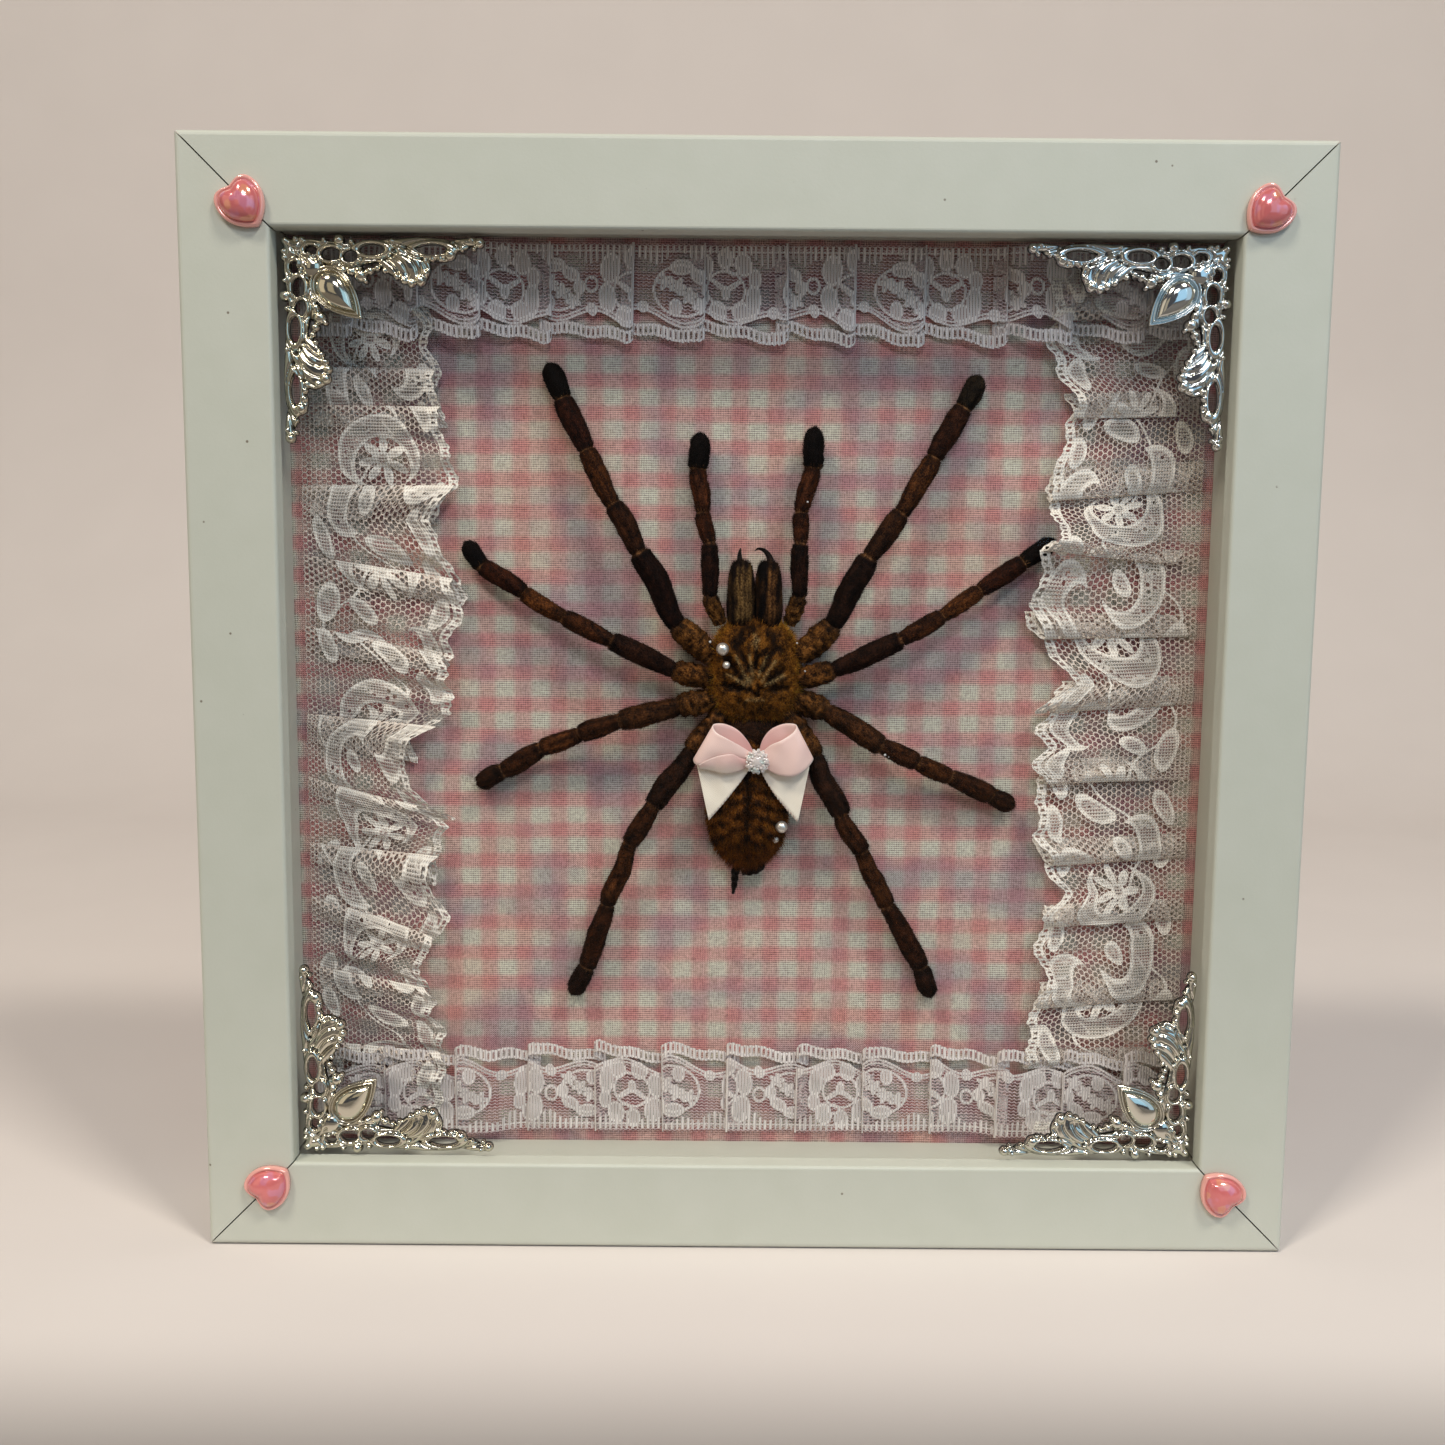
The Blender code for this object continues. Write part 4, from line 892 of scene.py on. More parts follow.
def addHearts(finish):
    # x = 16 sin t |sin t|^0.5 and z = 17 cos t - 2.8 cos 2t - 1.5 cos 3t - 0.5 cos 4t, shrunk ring by ring
    t = turnsRound(72)
    scale = heart["width"] / 32
    x = scale * 16 * np.sin(t) * abs(np.sin(t)) ** 0.5
    z = scale * (17 * np.cos(t) - 2.8 * np.cos(2 * t) - 1.5 * np.cos(3 * t) - 0.5 * np.cos(4 * t) + 1.6)
    rim, dome = heart["rim"], heart["dome"]
    # levels: scale, height, and 1 inside the rim
    levels = [(1.0, 0.02, 0), (1.0, 0.5 * rim, 0), (0.98, 0.8 * rim, 0), (0.94, 0.96 * rim, 0),
              (0.88, rim, 0), (0.83, 0.86 * rim, 0.3), (0.81, 0.82 * rim, 0.8), (0.79, 0.95 * rim, 1)]
    levels += [(0.79 * math.cos(k), 0.95 * rim + dome * math.sin(k), 1) for k in np.linspace(0.1, 1.5, 15)]
    form = closedForm(np.stack([np.stack([x * s, 0 * t - h, z * s], -1) for s, h, _ in levels]))
    inner = np.concatenate([np.repeat([k for _, _, k in levels], len(t)), [0, 1]])
    for name in corners:
        across, up, turn, size = heart[name]
        c, s = math.cos(math.radians(turn)), math.sin(math.radians(turn))
        px, ph, pz = form["points"].T * size
        points = np.stack([(across + px * c + pz * s) * mm, faceY + ph * mm,
                           middleZ + (up - px * s + pz * c) * mm], -1)
        own = {**form, "points": points, "inner": inner}
        newPiece("cabochon_" + name, own, finish, ["heart_" + name])


print("hearts")
addHearts(heartLacquer())


# Spider

def cuticle(name, roughness):
    p = Paint(name, Specular_IOR_Level=0.08)
    fine = p.noise(0.4 * mm, detail=4)
    broad = p.noise(2.0 * mm, detail=3)
    shade = p.mix(p.between(fine * 0.6 + broad * 0.4, 0.34, 0.66), (70, 62, 54), (255, 255, 255))
    return p.use(Base_Color=p.mix(1.0, p.value("tint", True), shade, "MULTIPLY"),
                 Roughness=roughness + 0.25 * (fine - 0.5), Normal=p.bump(fine + 0.6 * broad, 0.3 * mm, 0.9))


def scatterHairs(rings, tints, count, length, lean, seed, width, keep=None, comb=None, spread=0.28):
    # closed four-sided spikes at random places of a ring surface: each points along the normal and back
    # along the rings, or as combed, shared out by lean, and is turned a little at random
    rng = np.random.default_rng(seed)
    rows, columns = rings.shape[:2]
    along = np.roll(rings, -1, 1) - rings
    step = np.gradient(rings, axis=0)
    area = np.linalg.norm(np.cross(along, step), axis=-1)[:-1]
    if keep is not None:
        area = area * keep[:-1]
    pick = rng.choice(area.size, count, p=(area / area.sum()).ravel())
    i, j = pick // columns, pick % columns
    k = (j + 1) % columns
    a, b = rng.random((2, count, 1))
    low, high = (rings[i, m] * (1 - a) + rings[i + 1, m] * a for m in (j, k))
    root = low * (1 - b) + high * b
    if comb is None:
        middle, down = rings[i].mean(1), -unit(step[i, j], 1e-9)
    else:
        middle, down = rings.mean((0, 1)), comb(root)
    normal = unit(np.cross(along[i, j], step[i, j]), 1e-12)
    normal *= np.sign((normal * (root - middle)).sum(1, keepdims=True))
    way = unit(normal * (1 - lean) + down * lean + rng.normal(0, spread, (count, 3)))
    long = length * mm * rng.uniform(0.5, 1.3, (count, 1))
    across = unit(np.cross(way, normal), 1e-12)
    other = np.cross(way, across)
    wide = width * mm
    base = root - normal * 0.12 * mm
    back = base - across * wide * 0.5
    points = np.stack([base + across * wide, back + other * wide * 0.87, back - other * wide * 0.87,
                       root + way * long], 1)
    first = np.arange(count)[:, None] * 4
    faces = np.concatenate([first + t for t in ([0, 1, 3], [1, 2, 3], [2, 0, 3], [2, 1, 0])])
    shade = tints[i, j] * np.exp(rng.normal(0, 0.4, (count, 1)))
    tipGlint = np.array([0.6, 0.6, 0.6, 1.55])[:, None]  # darker at the root and paler at the tip: painted glints on the hair ends
    shade = np.repeat(shade[:, None], 4, 1) * tipGlint
    return {"points": points.reshape(-1, 3), "faces": [faces], "tint": np.clip(shade.reshape(-1, 3), 0, 0.8)}


glue = {  # drops of dried glue, white as a painted glint: x, z, height and radius
    "carapace": ((-9.5, 15.7, 8.4, 0.32), (10.6, 15.6, 8.4, 0.25), (12.5, 9.1, 8.6, 0.25)),
    "palp_right": ((12.6, 47.9, 7.3, 0.25),),
    "leg_3_right": ((31.3, -10.1, 9.9, 0.3), (32.2, -10.6, 9.7, 0.18)),
}


def glueGlints(name):
    drops = [ball(spot[:3], spot[3], 6, 8) for spot in glue.get(name, ())]
    # near white: the drops' shine is a painted glint
    return [{**drop, "tint": np.full((len(drop["points"]), 3), 0.85)} for drop in drops]


def withHairs(rings, tints, others):  # the skin over the rings, with everything that sits on it
    skin = closedForm(rings)
    skin["tint"] = np.concatenate([tints.reshape(-1, 3), tints[:1].mean(1), tints[-1:].mean(1)])
    return joinParts([skin, *others])


leg = {
    "rows": 30, "around": 28, "skin": 0.9, "groove": 0.15, "grooveWidth": 0.34,
    "hairs": {"count": 9500, "length": 1.15, "lean": 0.84, "width": 0.06, "spread": 0.13}, "hairTint": 1.25,
    "heights": (2.8, 3.2, 4.4, 6.4, 8.0, 6.2, 5.2), "radii": (2.3, 2.5, 2.3, 2.4, 2.75, 2.9),
    "palpHeights": (2.9, 3.4, 4.8, 6.4, 6.8, 5.4), "palpRadii": (2.4, 2.15, 1.95, 2.1, 1.9),
    "girths": {"leg_1": 1.07, "leg_2": 0.93, "leg_3": 1.0, "leg_4": 1.0, "palp_": 1.0},
    "reach": {"leg_4": 4.4},  # how far the coxa runs on under the carapace's edge, else 2.2
    # tarsus, metatarsus, tibia, patella, femur, coxa
    "tints": ((12, 6, 4), (46, 20, 9), (66, 35, 13), (52, 27, 12), (31, 14, 7), (110, 70, 30)),
    "leg_1_right": ((40, 31, 20), (50, 25, 12), (72, 40, 16), (54, 30, 14), (33, 17, 9), (110, 70, 30)),
    "leg_2": ((13, 6, 4), (54, 25, 11), (86, 48, 20), (64, 34, 15), (44, 23, 12), (112, 70, 30)),
    "leg_3": ((50, 27, 13), (64, 34, 15), (80, 44, 19), (68, 37, 17), (72, 42, 20), (108, 68, 30)),
    "leg_4": ((38, 20, 11), (56, 29, 13), (72, 40, 18), (66, 36, 17), (46, 25, 13), (100, 62, 28)),
    "palp_": ((12, 6, 4), (66, 34, 16), (60, 30, 14), (34, 16, 8), (104, 68, 30)),
    "ring": (164, 118, 76),
    # x and z of the joints, from the claw to the body
    "plans": {
        "leg_1_left": ((-47.4, 79.0), (-43.9, 71.1), (-38.3, 59.3), (-31.9, 46.9), (-25.6, 36.0),
                       (-17.1, 19.2), (-10.6, 13.4)),
        "leg_2_left": ((-67.3, 38.1), (-62.6, 32.6), (-52.8, 26.5), (-43.5, 20.9), (-32.4, 15.7),
                       (-17.4, 8.8), (-10.7, 7.2)),
        "leg_3_left": ((-64.4, -19.0), (-58.5, -15.5), (-48.9, -10.0), (-39.8, -6.2), (-30.2, -2.9),
                       (-16.5, 0.5), (-10.5, 1.7)),
        "leg_4_left": ((-42.1, -70.0), (-38.7, -63.0), (-33.4, -47.4), (-28.0, -32.1), (-22.7, -22.8),
                       (-13.2, -10.0), (-9.2, -4.3)),
        "leg_1_right": ((51.9, 77.1), (48.4, 69.7), (41.6, 58.2), (34.1, 45.4), (26.9, 35.3),
                        (18.8, 19.5), (12.9, 13.6)),
        "leg_2_right": ((70.4, 39.8), (63.4, 34.5), (53.3, 27.9), (44.4, 21.9), (34.7, 16.5), (19.3, 9.2),
                        (12.8, 7.3)),
        "leg_3_right": ((63.4, -23.1), (57.3, -20.5), (47.4, -15.9), (38.9, -12.3), (30.7, -8.2),
                        (17.6, -0.2), (12.2, 1.7)),
        "leg_4_right": ((44.6, -69.9), (41.8, -62.4), (33.3, -47.1), (26.4, -33.6), (21.4, -24.7),
                        (14.8, -11.0), (10.9, -4.5)),
        "palp_left": ((-12.6, 63.5), (-12.5, 55.2), (-11.5, 45.2), (-9.7, 38.2), (-9.5, 26.0),
                      (-8.0, 21.8)),
        "palp_right": ((14.8, 65.1), (13.5, 55.7), (11.6, 45.4), (11.1, 38.3), (10.7, 26.0), (9.6, 21.8)),
    },
}


def limbRings(centres, radii, around, flatten=0.92):
    # a tube: the ring at each centre stands across the path, its up side towards the glass
    ahead = unit(np.gradient(centres, axis=0))
    side = unit(np.cross(ahead, (0, -1, 0)))
    up = np.cross(side, ahead)
    turn = turnsRound(around)[None, :, None]
    spokes = side[:, None] * np.cos(turn) + flatten * up[:, None] * np.sin(turn)
    return centres[:, None] + radii[..., None] * spokes


def limbProfile(share, length, first, last):
    # fullest a little nearer the claw than its middle, with a groove at each joint; the first has a round tip
    full = 0.84 + 0.16 * np.sin(math.pi * np.clip(share, 0, 1)) ** 0.8
    full = full + 0.07 * np.cos(math.pi * (share - 0.15))
    groove = leg["groove"] * (np.exp(-(share * length / leg["grooveWidth"]) ** 2)
                              + 0.8 * np.exp(-((1 - share) * length / leg["grooveWidth"]) ** 2))
    if first:
        tip = np.clip(share / 0.3, 0, 1)
        rounded = (0.9 + 0.16 * np.sin(math.pi * share)) * np.sqrt(1 - (1 - tip) ** 2)
        return rounded - groove * (share > 0.5) + 0.02
    if last:
        return full * 1.04 - groove * (share < 0.5)
    return full - groove


def addLimb(name, finish, seed):
    # a tube through the joints, its radius from limbProfile in each stretch, wrinkled and streaked
    # lengthways, with painted light on its upper side
    kind = name[:5]
    palp = kind == "palp_"
    plan = np.array(leg["plans"][name])
    plan[-1] += unit(plan[-1] - plan[-2]) * leg["reach"].get(kind, 2.2)
    heights, radii = (leg["palpHeights"], leg["palpRadii"]) if palp else (leg["heights"], leg["radii"])
    joints = onCloth(plan[:, 0], plan[:, 1], np.array(heights))
    colours = linear(leg.get(name, leg.get(kind, leg["tints"])))
    share = 0.5 - 0.5 * np.cos(np.linspace(0, math.pi, leg["rows"]))
    ring = linear(leg["ring"])
    centres, sizes, tints = [], [], []
    for i, radius in enumerate(radii):
        last = i == len(radii) - 1
        rows = share if last else share[:-1]
        length = np.linalg.norm(joints[i + 1] - joints[i]) / mm
        centres.append(joints[i] + (joints[i + 1] - joints[i]) * rows[:, None])
        sizes.append(radius * leg["girths"][kind] * leg["skin"] * limbProfile(rows, length, i == 0, last))
        near = np.minimum(rows + (i == 0), 1 - rows) * length
        pale = np.exp(-(near / 0.2) ** 2)[:, None] * (0.5 if i < 3 else 0.2)
        dark = 1 - 0.5 * np.exp(-((near - 0.9) / 0.7) ** 2)[:, None]
        blend = ease(rows * length, 0, 0.5)[:, None]
        tone = colours[i] if i == 0 else colours[i] * blend + colours[i - 1] * (1 - blend)
        tints.append(tone * dark * (1 - pale) + ring * pale)
    centres, sizes, tints = np.concatenate(centres), np.concatenate(sizes) * mm, np.concatenate(tints)
    far = np.cumsum(np.concatenate([[0], np.linalg.norm(np.diff(centres, axis=0), axis=1)])) / mm
    centres[:, 0] += 0.28 * mm * wander(far, 0 * far, 11, seed + 5)
    turn = turnsRound(leg["around"])[None, :]
    far = far[:, None]
    coxa = ease(far, far[-1] - 9, far[-1] - 7)
    rough = wander(far * 1.3, turn * 2.4, 2.2, seed + 6)
    wrinkle = (0.035 * np.sin(4 * turn + 1.3 * wander(far, turn, 9, seed))
               + 0.03 * wander(far, turn * 3, 3.5, seed + 1)
               + 0.03 * np.sin(7 * turn + 2 * wander(far, 0 * turn, 6, seed + 2)) + 0.09 * coxa * rough)
    rings = limbRings(centres, sizes[:, None] * (1 + wrinkle), leg["around"])
    streak = 1 + 0.42 * wander(far * 0.22, turn * 2.6, 1.9, seed + 3)
    streak = streak + 0.22 * wander(far, turn * 2, 1.4, seed + 7)
    cracks = ease(rough, 0.1, -1.1) + ease(wander(far, turn * 2, 1.5, seed + 8), 0.9, 1.6)
    streak = streak * (1 - 0.8 * np.clip(cracks, 0, 1) * coxa)
    # painted light: lighter on the side facing the glass, darker on the flanks and underside
    top = 0.72 + 0.5 * np.clip(np.sin(turn), 0, 1)
    shade = np.clip(streak, 0.2, 2.2)[..., None] * tints[:, None] * top[..., None]
    hairs = scatterHairs(rings, shade * leg["hairTint"], seed=seed + 4, **leg["hairs"])
    newPiece(name + "_hairy", withHairs(rings, shade, [hairs, *glueGlints(name)]), finish, [name])


body = {  # spheres spread over a plan outline, |a|^power + |b|^power = 1; rings and points in each
    "carapace": {"centre": (0.9, 9.0), "half": (10.1, 11.9), "power": 2.9, "base": 5.6, "top": 4.3,
                 "bottom": 3.8, "narrowing": 0.08, "grid": (56, 120)},
    "abdomen": {"centre": (-0.5, -21.2), "half": (9.2, 15.9), "power": 1.7, "base": 5.4, "top": 4.2,
                "bottom": 4.5, "narrowing": 0.36, "grid": (48, 104)},
    "waist": {"centre": (0.6, -5.2), "half": (7.2, 5.0), "power": 2.4, "base": 4.6, "top": 3.0, "bottom": 3.0,
              "narrowing": 0.0, "grid": (20, 40)},
    "chelicera_left": {"centre": (-2.4, 26.4), "half": (3.15, 8.0), "power": 3.6, "base": 6.0, "top": 3.3,
                       "bottom": 3.4, "narrowing": 0.12, "grid": (30, 56)},
}
body["chelicera_right"] = {**body["chelicera_left"], "centre": (3.9, 26.4)}
coats = {  # how many hairs, length, lean, seed, width, spread, brightness, and what they are combed away from
    "carapace": ((17000, 0.8, 0.78, 71, 0.055, 0.2, 1.2, (-0.6, 8.0, 1.0)),
                 (5000, 1.7, 0.8, 75, 0.06, 0.25, 1.3, (0.9, 9.0, 1.0))),
    "abdomen": ((20000, 1.25, 0.78, 72, 0.055, 0.2, 1.3, (-0.2, 30.0, 1.6)),
                (5000, 2.3, 0.86, 76, 0.06, 0.2, 1.2, (-0.6, 20.0, 1.8))),
    "waist": ((1500, 0.9, 0.7, 78, 0.05, 0.28, 1.0, None),),
    "chelicera_left": ((4200, 0.8, 0.85, 73, 0.05, 0.12, 1.3, (-2.4, 8.0, 0.3)),),
    "chelicera_right": ((4200, 0.8, 0.85, 73, 0.05, 0.12, 1.3, (3.9, 8.0, 0.3)),),
}


def heightOver(form, x, z):  # base + top * sqrt(1 - rho^2), where rho is 1 on the plan outline
    a, b = (x - form["centre"][0]) / form["half"][0], (z - form["centre"][1]) / form["half"][1]
    rho = (abs(a) ** form["power"] + abs(b) ** form["power"]) ** (1 / form["power"])
    return form["base"] + form["top"] * np.sqrt(np.clip(1 - rho * rho, 0, 1))


def bodyRings(form, relief):
    # dx = wide * a * spread * (1 - narrowing * dz / long), dz = long * b * spread, height = base + top * c
    rise = np.linspace(-math.pi / 2, math.pi / 2, form["grid"][0] + 2)[1:-1, None]
    turn = turnsRound(form["grid"][1])[None, :]
    a, b, c = np.cos(rise) * np.cos(turn), np.cos(rise) * np.sin(turn), np.sin(rise) + 0 * turn
    power = form["power"]
    spread = 1 / (abs(np.cos(turn)) ** power + abs(np.sin(turn)) ** power) ** (1 / power)
    (wide, long), (cx, cz) = form["half"], form["centre"]
    dz = long * b * spread
    dx = wide * a * spread * (1 - form["narrowing"] * dz / long)
    lift, tints = relief(dx, dz)
    height = form["base"] + np.where(c > 0, form["top"], form["bottom"]) * c + lift * ease(c, 0.02, 0.5)
    return onCloth(cx + dx, cz + dz, height), tints


def hill(x, z, centre, width):  # 1 at its centre, fading over its width
    return np.exp(-((x - centre[0]) ** 2 + (z - centre[1]) ** 2) / width ** 2)


def line(x, z, start, end, width):  # 1 along a straight stroke, fading over its width
    dx, dz = end[0] - start[0], end[1] - start[1]
    share = np.clip(((x - start[0]) * dx + (z - start[1]) * dz) / (dx * dx + dz * dz), 0, 1)
    gap = np.hypot(x - start[0] - share * dx, z - start[1] - share * dz)
    return np.exp(-(gap / width) ** 2)


carapaceMarks = {  # strokes from the carapace's middle: pale ridges, then black hollows between them
    "pale": (((-1.8, -2.0), (-4.4, 3.4), 0.3), ((-0.6, -1.0), (-1.3, 3.6), 0.28),
             ((0.7, -1.2), (2.6, 3.4), 0.28), ((1.6, -2.2), (4.8, 2.4), 0.3),
             ((-2.4, -3.0), (-6.4, -0.6), 0.3), ((2.4, -3.2), (6.8, -1.0), 0.3),
             ((0.2, 5.6), (0.0, 8.2), 0.45), ((-1.8, -6.6), (1.8, -6.6), 0.35),
             ((-0.8, 6.4), (0.9, 7.2), 0.3)),
    "dark": (((-3.0, -1.4), (-6.2, 2.4), 1.1), ((-1.4, 0.6), (-3.2, 4.8), 0.7),
             ((0.0, 0.0), (0.6, 4.0), 0.6), ((2.0, 0.2), (4.2, 5.2), 0.9), ((3.4, -2.0), (6.6, 0.4), 0.8),
             ((-3.4, -4.0), (-7.2, -3.2), 0.8), ((3.4, -4.4), (7.4, -3.8), 0.7),
             ((-4.6, 5.4), (-3.0, 9.4), 1.3), ((4.6, 6.0), (3.6, 9.8), 1.2),
             ((-1.0, -4.2), (0.4, -5.6), 0.5), ((0.8, -3.4), (1.0, -5.4), 0.5)),
}


def carapaceRelief(x, z):  # a raised head, the eye mound, the pit, and the ridges and hollows round it
    pale = sum(line(x, z, *mark) for mark in carapaceMarks["pale"])
    dark = np.clip(sum(line(x, z, *mark) for mark in carapaceMarks["dark"]), 0, 1)
    edge = ease((abs(x / 10) ** 3 + abs(z / 12) ** 3), 0.45, 0.85)
    lift = 0.7 * hill(x, z, (0.0, 6.5), 4.6) + 1.0 * hill(x, z, (0.1, 10.0), 1.6)
    lift = lift - 1.0 * hill(x, z, (-0.6, -2.2), 1.1) - 0.7 * dark * (1 - edge) + 0.25 * pale
    lift = lift + 0.16 * wander(x, z, 2.4, 31) + 0.1 * wander(x, z, 1.2, 32)
    gold, black, cream = linear((158, 100, 34)), linear((20, 11, 6)), linear((200, 168, 114))
    mottle = ease(wander(x * 1.4, z * 0.9, 2.2, 41) + 0.6 * wander(x, z, 6, 42), -0.6, 1.3)
    mottle = mottle * (1 - 0.75 * edge)
    mask = 0.85 * dark * (1 - edge) + 0.8 * mottle + 0.7 * hill(x, z, (0.1, 10.0), 1.4)
    mask = np.clip(mask, 0, 0.94)[..., None]
    spot = np.clip(0.75 * hill(x, z, (-1.4, -2.0), 0.9) + 0.5 * pale * (1 - edge), 0, 0.8)[..., None]
    tint = (gold * (1 - mask) + black * mask) * (0.75 + 0.5 * edge[..., None])
    return lift, tint * (1 - spot) + cream * spot


def abdomenRelief(x, z):  # soft furry bands that point forwards at a dark midline
    band = np.sin((z + 0.45 * abs(x) + 0.3 * wander(x, z, 5, 51)) * fullTurn / 3.3)
    midline = np.exp(-(x / (0.75 + 0.3 * wander(z, 0 * z, 6, 52))) ** 2) * ease(z, 12, 4)
    gold, dark = linear((160, 96, 34)), linear((26, 13, 6))
    tail = ease(-z, 8, 15)
    mask = np.clip(0.5 + 0.30 * band * (1 - 0.6 * tail) - 0.25 * tail + 0.30 * wander(x, z, 2.2, 53), 0.08, 1)
    mask = np.clip(mask + 0.75 * midline * (1 - tail), 0, 0.97)[..., None]
    lift = 0.14 * wander(x, z, 2.4, 54) + 0.12 * band - 0.25 * midline
    tint = gold * (1 - mask) + dark * mask
    return lift, tint + 0.5 * tail[..., None] * (linear((120, 62, 22)) - tint)


def combedHair(x, z, stripe, pale, dark):  # pale hair combed along a stripe, black beside it
    stripe = stripe * ease(z, 7.4, 5.0) * ease(-z, 7.4, 5)
    fine = 0.5 + 0.5 * np.sin(x * fullTurn + 0.8 * np.sin(z / 2) + wander(x, z * 0.2, 2, 63))
    mask = np.clip(1 - 0.9 * stripe * (0.35 + 0.65 * fine) + 0.2 * wander(x, z * 0.3, 2, 61), 0, 1)[..., None]
    return 0.12 * fine + 0.06 * wander(x, z, 2, 62), pale * (1 - mask) + dark * mask


def leftChelicera(x, z):
    stripe = ease(x, -1.9, -0.9) * ease(2.7 - x, 0, 0.6)
    return combedHair(x, z, stripe, linear((124, 94, 54)), linear((24, 13, 8)))


def rightChelicera(x, z):  # painted shadow: blackest along the gap between the two
    stripe = ease(x, -0.9, 0.1) * ease(2.4 - x, 0, 1.4)
    # the inner side, facing the gap, is darkened as painted shadow
    dark = linear((24, 13, 8)) * np.where(x < 0, 0.25, 1.3)[..., None]
    return combedHair(x, z, stripe, linear((120, 80, 42)), dark)


def waistRelief(x, z):
    return 0.1 * wander(x, z, 2, 91), 0 * x[..., None] + linear((52, 29, 15))


def away(x, z, swirl):  # a field of directions that run away from a point in the plan, more across by swirl
    def comb(root):
        dx, dz = root[:, 0] - x * mm, root[:, 2] - middleZ - z * mm
        return unit(np.stack([dx * swirl, 0 * dx, dz], -1), 1e-9)
    return comb


def upperSide(form, low=-0.6, high=-0.2):  # 0 in the rings below low, 1 in those above high, from -1 to 1
    rows, columns = form["grid"]
    return ease(np.broadcast_to(np.linspace(-1, 1, rows)[:, None], (rows, columns)), low, high)


def fur(name, rings, tints, *places):  # the body's coats of hair, each only where its own place is above 0
    hairs = []
    for keep, (count, length, lean, seed, width, spread, bright, source) in zip(places, coats[name]):
        comb = away(*source) if source else None
        shade = tints * bright
        hairs.append(scatterHairs(rings, shade, count, length, lean, seed, width, keep, comb, spread))
    return hairs


def addBodies(golden, brown):
    form, waist, tail = body["carapace"], body["waist"], body["abdomen"]
    joint, shade = bodyRings(waist, waistRelief)
    under = withHairs(joint, shade, fur("waist", joint, shade, upperSide(waist)))
    rings, tints = bodyRings(form, carapaceRelief)
    fringe = upperSide(form, -0.5, -0.1) * (1 - upperSide(form, 0.15, 0.4))
    parts = [*fur("carapace", rings, tints, upperSide(form), fringe), under, *glueGlints("carapace")]
    newPiece("carapace_hairy", withHairs(rings, tints, parts), golden, ["carapace"])

    rings, tints = bodyRings(tail, abdomenRelief)
    end = upperSide(tail) * ease(middleZ - rings[..., 2], 28 * mm, 34 * mm)
    hairs = fur("abdomen", rings, tints, upperSide(tail), end)
    newPiece("abdomen_hairy", withHairs(rings, tints, hairs), golden, ["abdomen"])

    for name, relief in (("chelicera_left", leftChelicera), ("chelicera_right", rightChelicera)):
        rings, tints = bodyRings(body[name], relief)
        hairs = fur(name, rings, tints, upperSide(body[name]))
        newPiece(name + "_hairy", withHairs(rings, tints, hairs), brown, [name])


thin = {  # x, z and height of the path, then the radii
    "fang_left": (((-2.5, 33.0, 5.6), (-2.8, 34.8, 4.8), (-2.8, 36.2, 4.2), (-2.6, 37.3, 3.6)),
                  (0.95, 0.66, 0.42, 0.12)),
    "fang_right": (((4.6, 33.0, 5.6), (4.1, 35.2, 4.9), (3.0, 36.7, 4.5), (1.6, 37.2, 4.1), (0.7, 36.7, 3.7)),
                   (0.95, 0.75, 0.5, 0.3, 0.1)),
    "spinneret_left": (((-1.8, -36.8, 4.8), (-3.0, -38.8, 4.7), (-3.2, -40.6, 4.3), (-3.3, -42.4, 4.0),
                        (-3.6, -44.7, 3.6)), (1.3, 1.0, 0.85, 0.7, 0.3)),
    "spinneret_right": (((1.4, -36.2, 4.9), (2.5, -37.7, 4.9), (0.7, -38.7, 4.8), (-1.5, -39.4, 4.5)),
                        (1.6, 1.35, 1.2, 0.6)),
}


def addThin(finish):  # smooth tapering tubes, the spinnerets with rings along them
    rows, around = 34, 18
    for name, (path, radii) in thin.items():
        ringed = name.startswith("spinneret")
        x, z, height, radius = curveThrough(np.column_stack([path, radii]), rows).T
        size = radius * mm
        if ringed:
            size = size * (1 + 0.10 * np.sin(np.linspace(0, 26, rows)))
        rings = limbRings(onCloth(x, z, height), size[:, None] * np.ones((1, around)), around, 1.0)
        tints = np.broadcast_to(linear((22, 12, 9)), (rows, around, 3))
        hairs = scatterHairs(rings, tints, 260 if ringed else 40, 0.4, 0.6, 77, 0.03)
        newPiece(name + "_fine", withHairs(rings, tints, [hairs]), finish, [name])


print("spider")
brown = cuticle("brown velvet cuticle", 0.7)
golden = cuticle("golden velvet cuticle", 0.7)
for number, name in enumerate(leg["plans"]):
    addLimb(name, brown, 100 + 10 * number)
addBodies(golden, brown)
addThin(cuticle("black cuticle", 0.35))


# Pearls and beads

pearls = {  # x and z, size across, and what it lies on
    "pearl_head_large": ((-6.6, 14.2), 3.0, "carapace"), "pearl_head_small": ((-5.7, 10.5), 1.8, "carapace"),
    "pearl_tail_large": ((7.6, -27.6), 2.9, "abdomen"), "pearl_tail_small": ((6.2, -30.8), 1.8, "abdomen"),
}
beads = {
    # where the knot is, then the middle bead and the one under it: radius and height
    "centre": (1.6, -11.6), "height": 12.2, "middle": (1.0, 0.1), "under": (2.3, -1.1),
    # rings of small beads: how many, radius of the ring and of a bead, and height
    "rings": ((7, 1.95, 0.8, 0.0), (6, 1.0, 0.45, 0.62), (15, 2.6, 0.42, -0.3), (13, 1.65, 0.34, 0.7),
              (19, 2.35, 0.3, 0.3)),
    # the last colour is a painted green glint, laid on in patches
    "clear": ((246, 226, 221), (255, 254, 250)), "greenGlint": (206, 230, 222),
}


def pearlCoat():
    p = Paint("pearl", Coat_Weight=1.0, Coat_Roughness=0.03, Metallic=0.75)
    cloud = p.noise(1.1 * mm)
    return p.use(Base_Color=p.mix(cloud, (206, 198, 190), (236, 230, 220)), Roughness=0.2 + 0.2 * cloud)


